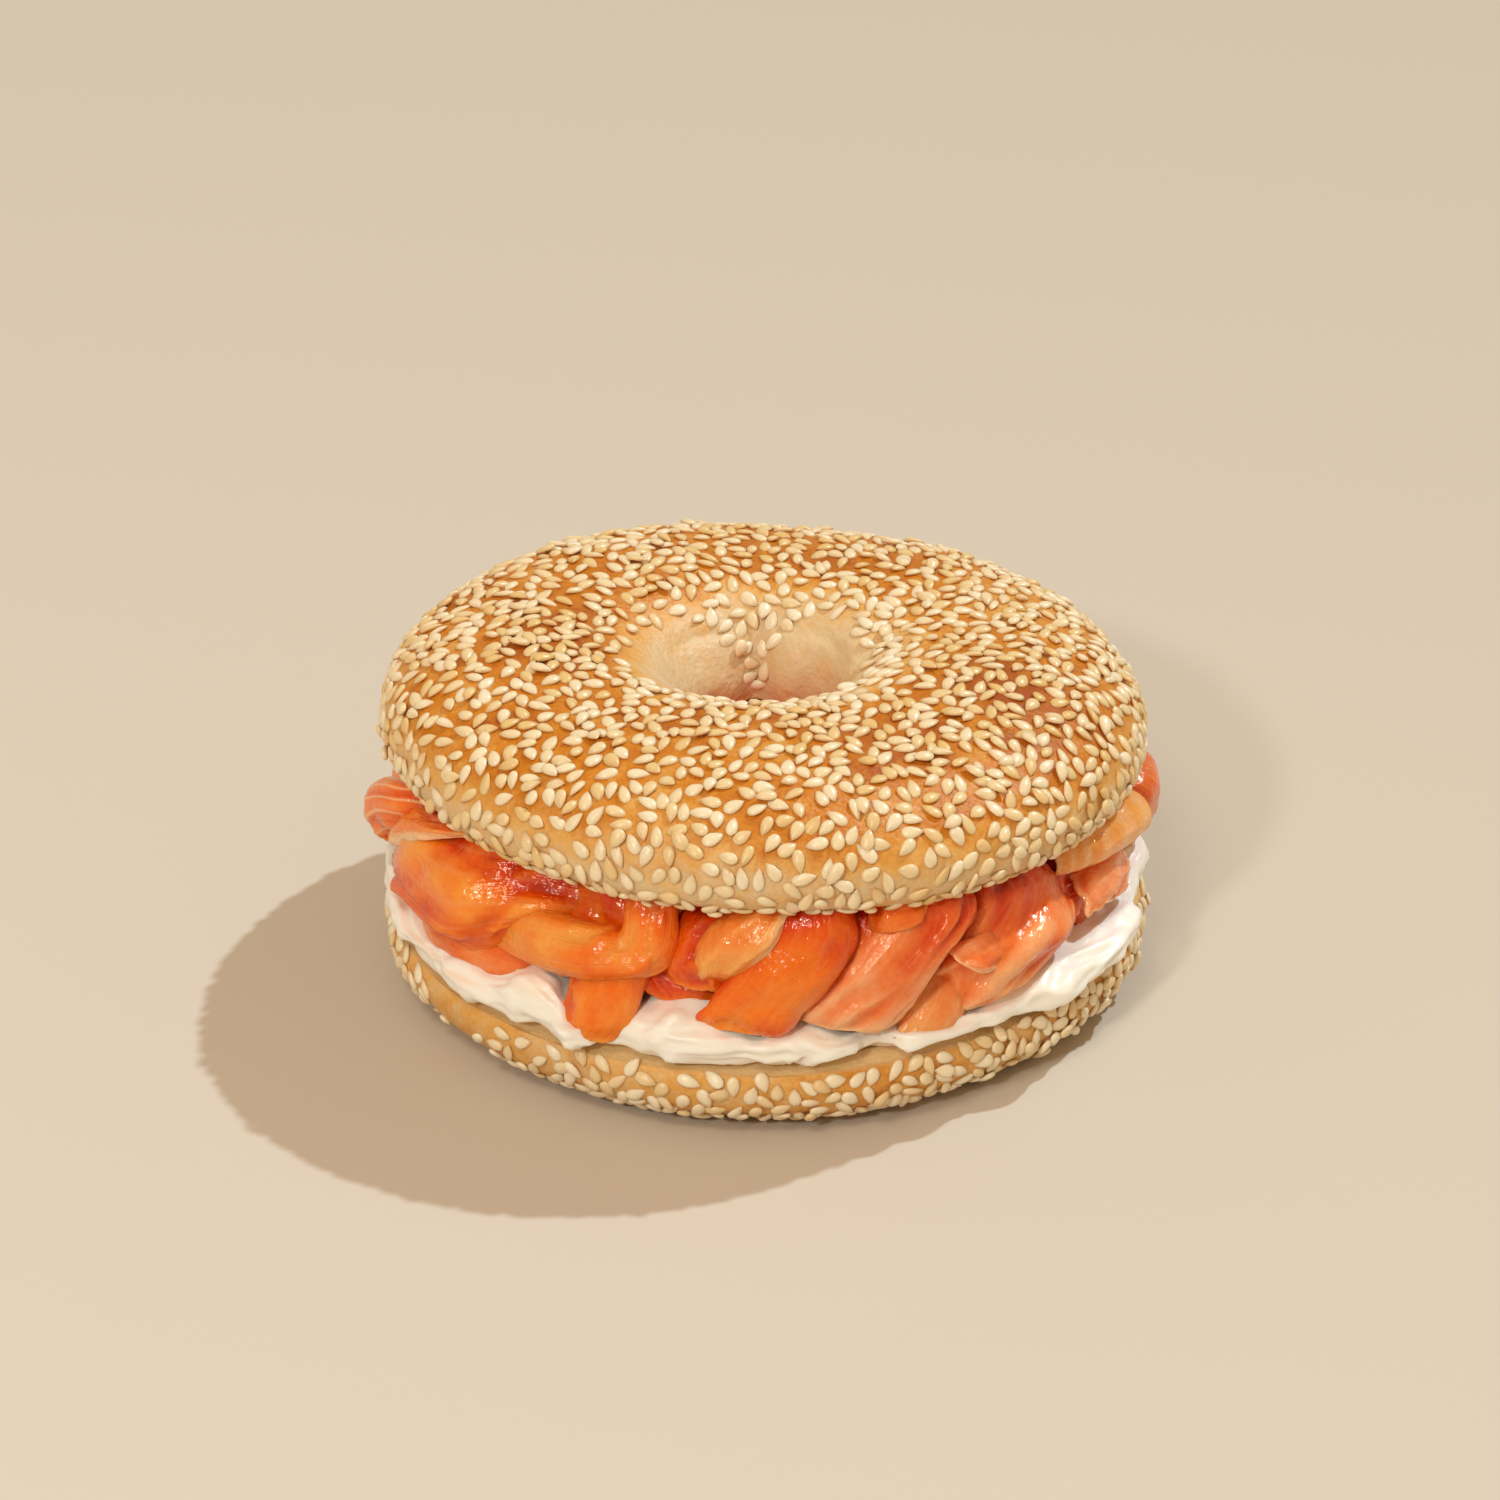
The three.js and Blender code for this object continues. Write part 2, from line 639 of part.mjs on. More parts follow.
// A closed sheet, both faces split alike, thinning to nothing at its border. Grown, it is thicker on both
// faces and reaches past its border.
function sheet(surface, [steps, rows], [inner, outer], grow = 0) {
  const [uAt, vAt] = [sheetSteps(steps), sheetSteps(rows)];
  const ends = (i, count) => (i === count) - (i === 0);
  const face = (outset) =>
    new ParametricGeometry(
      (s, t, target) => {
        const [i, j] = [Math.round(s * steps), Math.round(t * rows)];
        const [endU, endV] = [ends(i, steps), ends(j, rows)];
        const at = (du, dv) =>
          surface(
            THREE.MathUtils.clamp(uAt(i) + du, 0, 1),
            THREE.MathUtils.clamp(vAt(j) + dv, 0, 1),
            endU || endV ? (inner + outer) / 2 : outset,
          );
        const step = 0.004;
        const alongU = at(step, 0).sub(at(-step, 0)).setLength(grow * endU);
        const alongV = at(0, step).sub(at(0, -step)).setLength(grow * endV);
        target.copy(at(0, 0)).add(alongU).add(alongV);
      },
      steps,
      rows,
    );
  return solid(joined([face(outer + grow), flipped(face(inner - grow))]));
}

function flipped(geometry) {
  const index = geometry.index.array;
  for (let i = 0; i < index.length; i += 3) [index[i], index[i + 1]] = [index[i + 1], index[i]];
  return geometry;
}

function joined(geometries) {
  const positions = geometries.flatMap((g) => [...g.toNonIndexed().attributes.position.array]);
  return new THREE.BufferGeometry().setAttribute(
    "position",
    new THREE.Float32BufferAttribute(positions, 3),
  );
}

function salmonSlice(slice, grow = 0) {
  const body = sheet(bulgedSurface(slice), slice.grid ?? SLICE_GRID, [0, SALMON_THICKNESS], grow);
  return slice.also ? body.add(salmonSlice(slice.also, grow)) : body;
}

const salmonCurl = (grow = 0) => sheet(curlSurface(CURL), CURL_GRID, [-CURL.thickness, 0], grow);

// The folded slices that fill the middle: their folds show as the uneven wall behind the outer slices.
function salmonHeap(segments, grow = 0) {
  const floor = BASE_HEIGHT + CREAM_HEIGHT + 2 * GAP + 0.1;
  const folds = (angle) =>
    0.9 * Math.cos(9 * angle + 1) +
    0.6 * Math.cos(14 * angle) -
    3 * smoothBump(angleFrom(angle, rad(POUCH_ANGLE)), 0.2);
  const roof = (angle, radius) => {
    const { x, y } = ringPoint(angle, radius, 0);
    const underBread = CROWN_LIFT + CROWN_TILT_X * x + CROWN_TILT_Y * y - GAP - 0.3;
    return underBread - 0.5 * (1 + Math.cos(5 * angle + radius / 6)) + 1.4 * smoothBump(radius, 9);
  };
  const section = [
    ...[0.3, 0.7, 0.96].map((share) => ({ share, level: 0 })),
    ...[0.2, 0.5, 0.8].map((level) => ({ share: 1 + 0.03 * Math.sin(level * 9), level })),
    ...[0.95, 0.6, 0.3].map((share) => ({ share, level: 1 })),
  ];
  const place = (angle, { share, level }) => {
    const radius = share * (HEAP_RADIUS + folds(angle) + grow);
    const height = THREE.MathUtils.lerp(floor - grow, roof(angle, radius) + grow, level);
    return ringPoint(angle, radius, height);
  };
  return solid(cappedDisc(segments, section, place));
}

// ---- assembly ----

const BREAD = { color: 0xd9a05c, roughness: 0.75, metalness: 0 };
const COLOURS = {
  bagel_base: BREAD,
  bagel_crown: BREAD,
  cream_cheese: { color: 0xf4ecd6, roughness: 0.45, metalness: 0 },
};
const SALMON = { color: 0xe8703a, roughness: 0.35, metalness: 0 };

function assemble() {
  const bodies = {
    bagel_base: seededBread(baseBread(BASE_SEGMENTS), baseSurface, baseTakesSeeds, BASE_SEEDS, 11),
    bagel_crown: seededBread(crownBread(CROWN_SEGMENTS), crownSurface, crownTakesSeeds, CROWN_SEEDS, 7),
    cream_cheese: creamCheese(CREAM_SEGMENTS),
  };
  const keepOff = [crownBread(CROWN_SEGMENTS, GAP), creamCheese(CREAM_SEGMENTS, GAP)];
  const makers = { salmon_right_curl: salmonCurl, salmon_heap: (grow) => salmonHeap(HEAP_SEGMENTS, grow) };
  for (const [name, slice] of Object.entries(SLICES)) makers[name] = (grow) => salmonSlice(slice, grow);
  for (const [name, make] of Object.entries(makers)) {
    bodies[name] = largest(keepOff.reduce((left, other) => left.subtract(other), make()));
    keepOff.push(make(SLICE_GAP));
  }
  return bodies;
}

const bagel = new THREE.Group();
for (const [name, body] of Object.entries(assemble())) {
  const material = new THREE.MeshStandardMaterial(COLOURS[name] ?? SALMON);
  const mesh = new THREE.Mesh(geometryOf(body), material);
  mesh.name = name;
  bagel.add(mesh);
}

export default bagel;
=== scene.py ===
"""Looks for a seeded bagel that is cut in half and filled with cream cheese and smoked salmon."""

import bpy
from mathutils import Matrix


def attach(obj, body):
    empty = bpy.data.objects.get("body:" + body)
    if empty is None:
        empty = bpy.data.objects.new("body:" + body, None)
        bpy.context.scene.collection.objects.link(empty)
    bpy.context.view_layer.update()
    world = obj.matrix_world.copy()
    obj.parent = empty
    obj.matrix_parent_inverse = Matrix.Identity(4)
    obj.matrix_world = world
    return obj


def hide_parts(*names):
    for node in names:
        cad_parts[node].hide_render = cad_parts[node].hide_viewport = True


bl_info = {
    "name": "Filled Bagel",
    "version": (1, 0, 0),
    "blender": (4, 5, 0),
    "location": "View3D > Sidebar > Bagel",
    "description": "Makes a seeded bagel with cream cheese and folded smoked salmon, piece by piece",
    "category": "Object",
}

import bpy
import numpy as np
from bpy.props import FloatProperty, FloatVectorProperty, IntProperty, PointerProperty
from mathutils import Vector

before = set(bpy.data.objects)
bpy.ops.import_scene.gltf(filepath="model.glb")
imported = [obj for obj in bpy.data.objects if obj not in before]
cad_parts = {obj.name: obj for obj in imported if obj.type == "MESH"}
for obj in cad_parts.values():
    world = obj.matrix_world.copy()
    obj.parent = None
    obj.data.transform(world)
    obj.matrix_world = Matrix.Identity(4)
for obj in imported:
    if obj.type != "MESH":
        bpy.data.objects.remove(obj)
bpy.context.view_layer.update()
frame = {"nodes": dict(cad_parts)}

MM = 0.001
BODY = "root"

# ---- sizes of the bread, in millimetres: x to the right, y to the back, z up ----

BASE_HOLE = 9.0
BASE_FOOT = 44.0  # radius of the flat that it rests on
BASE_WAIST = 8.0
CROWN_CUT_RADIUS = 51.7
CROWN_WAIST = 4.4  # height of its widest ring over its cut face
CROWN_RING = 32.0  # radius of the dough ring's middle
CROWN_HOLE = 11.5
CROWN_LIFT = 33.7
CROWN_TILT = (-0.032, -0.033)  # rise of the cut face for each mm to the right and to the back
HEAP_RADIUS = 45.0
CREAM_FLOOR = 11.7

# The shares of the way round a half's section at which its parts end: the crown's outer rim, its top and
# the hole's curve, and the base's rounded foot and its side.
RIM_SHARE, TOP_SHARE, WALL_SHARE = 0.09, 0.52, 0.92
FOOT_SHARE, CUT_SHARE = 0.62, 0.86
SKIN_STEP = 2e-3  # how far apart two places on a skin are where its slope is measured


def mm(length):
    """A property's length, which Blender keeps in metres, in millimetres."""
    return length / MM


# ---- shape helpers: every function takes and gives arrays, in millimetres ----


def rad(degrees):
    return np.radians(degrees)


def mix(low, high, share):
    return low + (high - low) * share


def ramp(x, low, high):
    """0 below low, 1 above high, smooth between them."""
    t = np.clip((x - low) / (high - low), 0, 1)
    return t * t * (3 - 2 * t)


def bump(distance, width):
    """1 at no distance, fading to nothing over about twice the width."""
    return np.exp(-((distance / width) ** 2))


def near(angle, degrees, width):
    """1 at a place round the bagel, and less away from it; the width is in radians."""
    away = angle - rad(degrees)
    return bump(np.arctan2(np.sin(away), np.cos(away)), width)


def circle(segments):
    return np.linspace(0, 2 * np.pi, segments, endpoint=False)


def from_axis(points):
    return np.hypot(points[..., 0], points[..., 1])


def bent(x, exponent):
    """A sine or cosine, bent so that the arc drawn with both is squarer; an exponent of 2 leaves it round."""
    return np.sign(x) * np.abs(x) ** (2 / exponent)


def ring_points(angle, radius, height):
    """Points round the bagel's axis: angle 0 is the front, and it grows to the right."""
    angle, radius, height = np.broadcast_arrays(angle, radius, height)
    return np.stack([radius * np.sin(angle), -radius * np.cos(angle), height], -1)


def around(table, angle):
    """The value at each angle in a table of (degrees, value) pairs, smooth between them."""
    start = table[0][0]
    degrees = start + np.mod(np.degrees(angle) - start, 360)
    stops = np.array([*table, (start + 360, table[0][1])], float)
    after = np.clip(np.searchsorted(stops[:, 0], degrees, side="right"), 1, len(stops) - 1)
    low, high = stops[after - 1], stops[after]
    return mix(low[..., 1], high[..., 1], ramp(degrees, low[..., 0], high[..., 0]))


def unit(vectors):
    return vectors / np.maximum(np.linalg.norm(vectors, axis=-1, keepdims=True), 1e-9)


def scattered(cells, seed):
    """A repeatable value from 0 to 1 for each whole-numbered cell."""
    x, y, z = np.moveaxis((cells + 100000).astype(np.uint64), -1, 0)
    mask = np.uint64(0xFFFFFFFF)
    n = (x * np.uint64(73856093)) ^ (y * np.uint64(19349663)) ^ (z * np.uint64(83492791))
    n = (n ^ np.uint64(seed * 2654435761 + 97)) & mask
    n = ((n ^ (n >> np.uint64(15))) * np.uint64(2246822519)) & mask
    n = ((n ^ (n >> np.uint64(13))) * np.uint64(3266489917)) & mask
    return (n ^ (n >> np.uint64(16))).astype(float) / float(0xFFFFFFFF)


def noise(points, size, seed=0):
    """Smooth bumps from -1 to 1; size is how far apart they are."""
    at = np.asarray(points, float) / size
    cell = np.floor(at).astype(np.int64)
    part = at - cell
    part = part * part * (3 - 2 * part)
    total = 0.0
    for corner in np.ndindex(2, 2, 2):
        weight = np.prod(np.where(np.array(corner) == 1, part, 1 - part), axis=-1)
        total = total + weight * scattered(cell + np.array(corner), seed)
    return 2 * total - 1


def layered(points, size, seed=0, layers=3):
    """Bumps with finer and lower bumps on them."""
    total = 0.0
    for i in range(layers):
        total = total + noise(points, size / 2**i, seed + i) / 2**i
    return total / 1.6


def curve(points, u):
    """A smooth curve through the points, at each share u of its way from 0 to 1."""
    points = np.asarray(points, float)
    padded = np.vstack([2 * points[0] - points[1], points, 2 * points[-1] - points[-2]])
    at = np.clip(u, 0, 1) * (len(points) - 1)
    i = np.minimum(np.floor(at).astype(int), len(points) - 2)
    t = (at - i)[..., None]
    before, start, end, after = (padded[i + k] for k in range(4))
    leave = (end - before) / 2
    arrive = (after - start) / 2
    return (
        start
        + leave * t
        + (3 * (end - start) - 2 * leave - arrive) * t**2
        + (2 * (start - end) + leave + arrive) * t**3
    )


def ring_curve(points, u):
    """A smooth curve through (degrees, radius, height) points."""
    table = np.asarray(points, float)
    return curve(ring_points(rad(table[:, 0]), table[:, 1], table[:, 2]), u)


def along(values, u):
    """A value that runs smoothly through the listed ones as u goes from 0 to 1."""
    values = np.asarray(values, float)
    at = np.clip(u, 0, 1) * (len(values) - 1)
    i = np.minimum(np.floor(at).astype(int), len(values) - 2)
    return mix(values[i], values[i + 1], ramp(at - i, 0, 1))


# ---- mesh helpers ----


def grid_faces(rows, columns, wrap_rows=False, wrap_columns=False, first=0):
    """Quads over a grid of points that is numbered row by row."""
    i = np.arange(rows if wrap_rows else rows - 1)
    j = np.arange(columns if wrap_columns else columns - 1)
    i, j = np.meshgrid(i, j, indexing="ij")
    down, right = (i + 1) % rows, (j + 1) % columns
    quads = np.stack(
        [i * columns + j, i * columns + right, down * columns + right, down * columns + j], -1
    )
    return quads.reshape(-1, 4) + first


def new_object(name, points, faces, material, values=None, flat_map=None):
    """An object from points in mm, with a value per point for each name in values."""
    mesh = bpy.data.meshes.new(name)
    mesh.from_pydata((np.asarray(points).reshape(-1, 3) * MM).tolist(), [], faces)
    for key, value in (values or {}).items():
        layer = mesh.attributes.new(key, "FLOAT", "POINT")
        layer.data.foreach_set("value", np.asarray(value, np.float32).ravel())
    if flat_map is not None:
        corners = np.empty(len(mesh.loops), np.int32)
        mesh.loops.foreach_get("vertex_index", corners)
        layer = mesh.uv_layers.new(name="UVMap")
        layer.data.foreach_set("uv", np.asarray(flat_map, np.float32)[corners].ravel())
    mesh.shade_smooth()
    mesh.validate()
    mesh.materials.append(material)
    piece = bpy.data.objects.new(name, mesh)
    bpy.context.scene.collection.objects.link(piece)
    return piece


def finish_piece(piece, slot, *nodes):
    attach(piece, BODY)
    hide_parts(*nodes)
    return piece


def faces_out(points, faces):
    """The faces, turned the other way round if their solid came out inside out."""
    faces = np.asarray(faces)
    corners = np.asarray(points).reshape(-1, 3)[faces[:, :3]]
    last = np.asarray(points).reshape(-1, 3)[faces[:, [0, 2, 3]]]
    volume = sum(
        np.einsum("ij,ij->i", t[:, 0], np.cross(t[:, 1], t[:, 2])).sum() for t in (corners, last)
    )
    return (faces if volume > 0 else faces[:, ::-1]).tolist()


def grid_normals(points, wrap_columns=False):
    """The way out of a grid of points, from its neighbours."""
    if wrap_columns:
        across = np.roll(points, -1, 1) - np.roll(points, 1, 1)
    else:
        across = np.gradient(points, axis=1)
    down = np.gradient(points, axis=0)
    return unit(np.cross(across, down))


def capped(points):
    """Points and faces of a closed solid from rings of points, with a fan over each end."""
    rows, segments = points.shape[:2]
    flat = np.vstack([points.reshape(-1, 3), points[0].mean(0), points[-1].mean(0)])
    count = rows * segments
    j = np.arange(segments)
    after = (j + 1) % segments
    below = np.stack([np.full(segments, count), after, j], -1)
    above = np.stack([np.full(segments, count + 1), count - segments + j, count - segments + after], -1)
    faces = grid_faces(rows, segments, False, True)
    quads = faces_out(flat, faces)
    turned = -1 if quads[0] != faces[0].tolist() else 1
    return flat, quads + [face[::turned] for face in np.vstack([below, above]).tolist()]


# ---- bread ----


def crown_sizes():
    sizes = bpy.context.scene.bagel_bread
    return mm(sizes.crown_radius), mm(sizes.crown_height)


def crown_section(angle, way):
    """Radius and height over the cut face: way 0 is the cut face's rim and 1 the hole's lower rim."""
    crown_radius, crown_height = crown_sizes()
    # The hole's wall is steep, but for a long low slope at its left.
    slope = (0.5 + 0.5 * np.cos(angle + rad(125))) ** 1.3
    low = mix(6.5, 2, slope)
    edge = mix(2.6, 2, slope)
    rim = np.clip(way / RIM_SHARE, 0, 1) * np.pi / 2
    outer = np.clip((way - RIM_SHARE) / (TOP_SHARE - RIM_SHARE), 0, 1) * np.pi / 2
    inner = np.clip((way - TOP_SHARE) / (WALL_SHARE - TOP_SHARE), 0, 1) * np.pi / 2
    wall = np.clip((way - WALL_SHARE) / (1 - WALL_SHARE), 0, 1)
    pieces = [
        (
            CROWN_CUT_RADIUS + (crown_radius - CROWN_CUT_RADIUS) * np.sin(rim),
            CROWN_WAIST * (1 - np.cos(rim)),
        ),
        (
            CROWN_RING + (crown_radius - CROWN_RING) * bent(np.cos(outer), 2.2),
            CROWN_WAIST + (crown_height - CROWN_WAIST) * bent(np.sin(outer), 2.2),
        ),
        (
            CROWN_RING - (CROWN_RING - CROWN_HOLE) * bent(np.sin(inner), edge),
            low + (crown_height - low) * bent(np.cos(inner), edge),
        ),
        (CROWN_HOLE + 0.6 * wall, low * (1 - wall)),
    ]
    tests = [way < RIM_SHARE, way < TOP_SHARE, way < WALL_SHARE]
    return tuple(np.select(tests, [part[k] for part in pieces[:3]], pieces[3][k]) for k in (0, 1))


def uneven_crown(angle, radius, height):
    """The pale funnel on the hole's left, the pinched seam on its right, two lobes at its back."""
    _, crown_height = crown_sizes()
    inside = np.clip((CROWN_RING - radius) / (CROWN_RING - CROWN_HOLE), 0, 1)
    above = np.clip(height / crown_height, 0, 1)
    outline = 1 + 0.008 * np.cos(2 * angle + 0.6) + 0.006 * np.cos(3 * angle - 1)
    funnel = 1.6 * near(angle, -95, 0.8) * inside * above
    seam = 2.4 * near(angle, 132 - 32 * inside, 0.16) * inside * above
    groove = 1.7 * near(angle, 188, 0.26) * inside**2
    lobe = near(angle, 160, 0.3) * inside**2
    swell = 0.5 * np.cos(2 * angle - 2.2) + 0.4 * np.cos(5 * angle + 0.5)
    return (
        radius * outline + groove - lobe,
        height + above * (swell * (1 - inside) - funnel - seam),
    )


def crown_skin(angle, way):
    """The upper half's outside, lifted and tilted as it lies on the filling."""
    radius, height = uneven_crown(angle, *crown_section(angle, way))
    points = ring_points(angle, radius, CROWN_LIFT + height)
    points[..., 2] += CROWN_TILT[0] * points[..., 0] + CROWN_TILT[1] * points[..., 1]
    return points


def base_sizes():
    sizes = bpy.context.scene.bagel_bread
    return mm(sizes.base_radius), mm(sizes.base_height)


def base_skin(angle, way):
    """The base's outside: way 0 is the edge of its foot and 1 is the rim of its cut top."""
    base_radius, base_height = base_sizes()
    side = (np.clip(way / FOOT_SHARE, 0, 1) - 1) * np.pi / 2
    upper = np.clip((way - FOOT_SHARE) / (CUT_SHARE - FOOT_SHARE), 0, 1)
    cut = np.clip((way - CUT_SHARE) / (1 - CUT_SHARE), 0, 1)
    radius = BASE_FOOT + (base_radius - BASE_FOOT) * bent(np.cos(side), 2.1)
    height = BASE_WAIST * (1 + bent(np.sin(side), 2.1))
    radius = radius - 0.7 * upper**2 - 3.6 * cut
    height = height + (base_height - 1 - BASE_WAIST) * upper + ramp(cut, 0, 1)
    outer = np.clip((radius - BASE_FOOT) / (base_radius - BASE_FOOT), 0, 1)
    outline = 0.5 * np.cos(2 * angle + 1.2) + 0.35 * np.cos(5 * angle)
    return ring_points(angle, radius + outer * outline, height)


def crust_relief(points):
    """How far the crust stands out, from the dough's swellings down to its fine wrinkles."""
    return 0.28 * noise(points, 11, 3) + 0.12 * layered(points, 3.2, 5) + 0.05 * noise(points, 1.1, 9)


def hole_relief(points, angle):
    """Two soft lobes of dough in the hole's back wall, the valley between them and the crease above."""
    height = points[..., 2]
    inside = 1 - ramp(from_axis(points), 16, 24)
    right = near(angle, 158, 0.36) * bump(height - 39, 4.5)
    left = near(angle, 218, 0.4) * bump(height - 38.5, 4.5)
    valley = near(angle, 187, 0.11) * (1 - ramp(height, 42, 46))
    back = ramp(np.cos(angle - rad(180)), 0.35, 0.8)
    crease = back * bump(height - 44.6 - 0.7 * noise(points, 6, 13), 0.8)
    wrinkles = 0.1 * layered(points, 1.9, 15)
    folds = 0.35 * layered(points, 5.5, 17)
    return inside * (1.0 * right + 0.6 * left - 0.8 * valley - 0.35 * crease + folds + wrinkles)


def on_skin(skin, angle, way):
    """Points on a skin with its relief, and the way out of it."""
    here = skin(angle, way)
    step = np.where(way < 0.5, SKIN_STEP, -SKIN_STEP)
    across = (skin(angle, way + step) - here) / step[..., None]
    normal = unit(np.cross(skin(angle + SKIN_STEP, way) - here, across))
    lift = crust_relief(here)
    if skin is crown_skin:
        lift = lift + hole_relief(here, angle)
    return here + normal * lift[..., None], normal


def bread_object(name, rings, material):
    """A ring of bread, from the points, bake and crumb of each ring of points round its closed section."""
    points, bake, crumb = zip(*rings)
    points = np.stack(points)
    rows, segments = points.shape[:2]
    values = {
        "bake": np.stack([np.broadcast_to(value, segments) for value in bake]),
        "crumb": np.stack([np.broadcast_to(value, segments) for value in crumb]),
    }
    faces = faces_out(points, grid_faces(rows, segments, True, True))
    return new_object(name, points, faces, material, values)


def crown_bake(points, angle, way):
    """How dark the crust is baked, from 0 in the hole and under the rim to 1 in the brown patches."""
    radius = from_axis(points)
    patch = layered(points, 17, 21)
    fine = layered(points, 5, 31)
    brown = 0.54 + 0.28 * patch + 0.16 * fine
    brown += 0.1 * near(angle, -130, 0.9) + 0.1 * bump(radius - 30, 10)
    brown += 0.16 * near(angle, 60, 0.8)
    low = ramp(way, 0.06, 0.27)
    hole = 1 - ramp(radius, 14, 27)
    return np.clip(brown * mix(0.1, 1, low) * (1 - hole), 0, 1)


def base_bake(points, angle, way):
    """How dark the lower half's crust is baked: paler than the upper one's, browner at the front right."""
    patch = layered(points, 14, 41)
    return np.clip(0.26 + 0.2 * patch + 0.12 * near(angle, 60, 1.0), 0, 1)


def make_crown(material, segments=340, rows=170, under_rows=16):
    """The upper half: its skin, and its cut face from the hole back to the outer rim."""
    angle = circle(segments)
    rings = []
    for way in np.linspace(0, 1, rows):
        ways = np.full(segments, way)
        points, _ = on_skin(crown_skin, angle, ways)
        rings.append((points, crown_bake(points, angle, ways), 0.0))
    first, last = rings[0][0], rings[-1][0]
    for share in np.linspace(0, 1, under_rows)[1:-1]:
        points = mix(last, first, share)
        points[:, 2] += 0.25 * noise(points, 2.2, 51) * ramp(share * (1 - share), 0, 0.1)
        rings.append((points, 0.0, 1.0))
    return bread_object("crown_bread", rings, material)


def make_base(material, segments=340, rows=90):
    """The lower half: its skin, its flat top and the wall of its closed-in hole, down to its foot."""
    angle = circle(segments)
    _, base_height = base_sizes()
    rings = []
    for way in np.linspace(0, 1, rows):
        ways = np.full(segments, way)
        points, _ = on_skin(base_skin, angle, ways)
        points[:, 2] = np.maximum(points[:, 2], 0)
        cut = ramp(way, CUT_SHARE - 0.02, CUT_SHARE + 0.04)
        rings.append((points, base_bake(points, angle, ways), cut))
    inner = [
        (mix(CROWN_RING, BASE_HOLE, 0.1), base_height),
        (BASE_HOLE + 0.8, base_height),
        (BASE_HOLE, base_height / 2),
        (BASE_HOLE + 1, 1.2),
        (BASE_HOLE + 4, 0),
        (BASE_FOOT - 1, 0),
    ]
    for radius, height in inner:
        rings.append((ring_points(angle, radius, height), 0.3, 1.0 if height > 0 else 0.0))
    return bread_object("base_bread", rings, material)


# ---- sesame seeds ----

SEED_SINK = 0.2  # how deep a seed lies in the crust


def seed_template(length, width, thickness, rings=7, sides=8):
    """A flat teardrop along x with its tip at +x: points, faces and each point's share towards the tip."""
    turns = np.linspace(0, np.pi, rings + 2)[1:-1]
    spread = np.sin(turns) * np.sin(turns / 2) ** 0.7 / 0.82
    points, share = [], []
    for turn, wide in zip(turns, spread):
        round_angle = circle(sides)
        x = np.full(sides, 0.5 * length * np.cos(turn))
        y = 0.5 * width * wide * np.cos(round_angle)
        z = 0.5 * thickness * wide**0.6 * np.sin(round_angle)
        points.append(np.stack([x, y, z], -1))
        share.append(np.full(sides, 0.5 + 0.5 * np.cos(turn)))
    count = rings * sides
    points = np.vstack([*points, [[0.5 * length, 0, 0]], [[-0.5 * length, 0, 0]]])
    share = np.concatenate([*share, [1.0], [0.0]])
    faces = grid_faces(rings, sides, False, True).tolist()
    last = (rings - 1) * sides
    for j in range(sides):
        after = (j + 1) % sides
        faces.append([count, after, j])
        faces.append([count + 1, last + j, last + after])
    return points, faces, share


class SeedSpread:
    """Places seeds over a skin one by one, each where it lies clear of the ones before."""

    def __init__(self, skin, random, low, high, size):
        self.skin = skin
        self.random = random
        self.length, self.width = size
        self.ends = np.empty((0, 3))
        self.frames = []
        angle = np.linspace(0, 2 * np.pi, 181)
        way = np.linspace(low, high, 61)
        angles, ways = np.meshgrid(angle, way, indexing="ij")
        points = skin(angles, ways)
        wide = np.linalg.norm(points[1:, :-1] - points[:-1, :-1], axis=-1)
        tall = np.linalg.norm(points[:-1, 1:] - points[:-1, :-1], axis=-1)
        area = (wide * tall).ravel()
        self.cells = angles[:-1, :-1].ravel(), ways[:-1, :-1].ravel()
        self.steps = angle[1] - angle[0], way[1] - way[0]
        self.share = area / area.sum()

    def draw(self, count):
        """Places that are spread evenly over the skin's area."""
        chosen = self.random.choice(len(self.share), count, p=self.share)
        angle = self.cells[0][chosen] + self.steps[0] * self.random.random(count)
        way = self.cells[1][chosen] + self.steps[1] * self.random.random(count)
        return angle, way

    def fill(self, tries, wanted, keep, close, lift=0.0):
        """Adds up to `wanted` seeds; `keep` gives the share that stays at each place.

        Two seeds lie at least `close` of a seed's width apart, and `lift` mm over the crust.
        """
        angle, way = self.draw(tries)
        points, normals = on_skin(self.skin, angle, way)
        chance = keep(angle, way, points)
        turns = self.random.random((tries, 3)) * 2 * np.pi
        luck = self.random.random(tries)
        lean = self.random.normal(0, 0.15, (tries, 3))
        reach = 0.5 * (self.length - self.width)
        added = 0
        for k in range(tries):
            if added >= wanted:
                break
            if luck[k] > chance[k]:
                continue
            normal = unit(normals[k] + lean[k])
            side = unit(np.cross(normal, [0.31, 0.17, 0.93]))
            other = np.cross(normal, side)
            for turn in turns[k]:
                first = side * np.cos(turn) + other * np.sin(turn)
                ends = points[k] + np.outer([-reach, reach], first)
                gap = np.linalg.norm(self.ends[:, None] - ends[None], axis=-1)
                if gap.size and gap.min() < self.width * close:
                    continue
                self.ends = np.vstack([self.ends, ends])
                self.frames.append((points[k] + normal * lift, first, normal))
                added += 1
                break


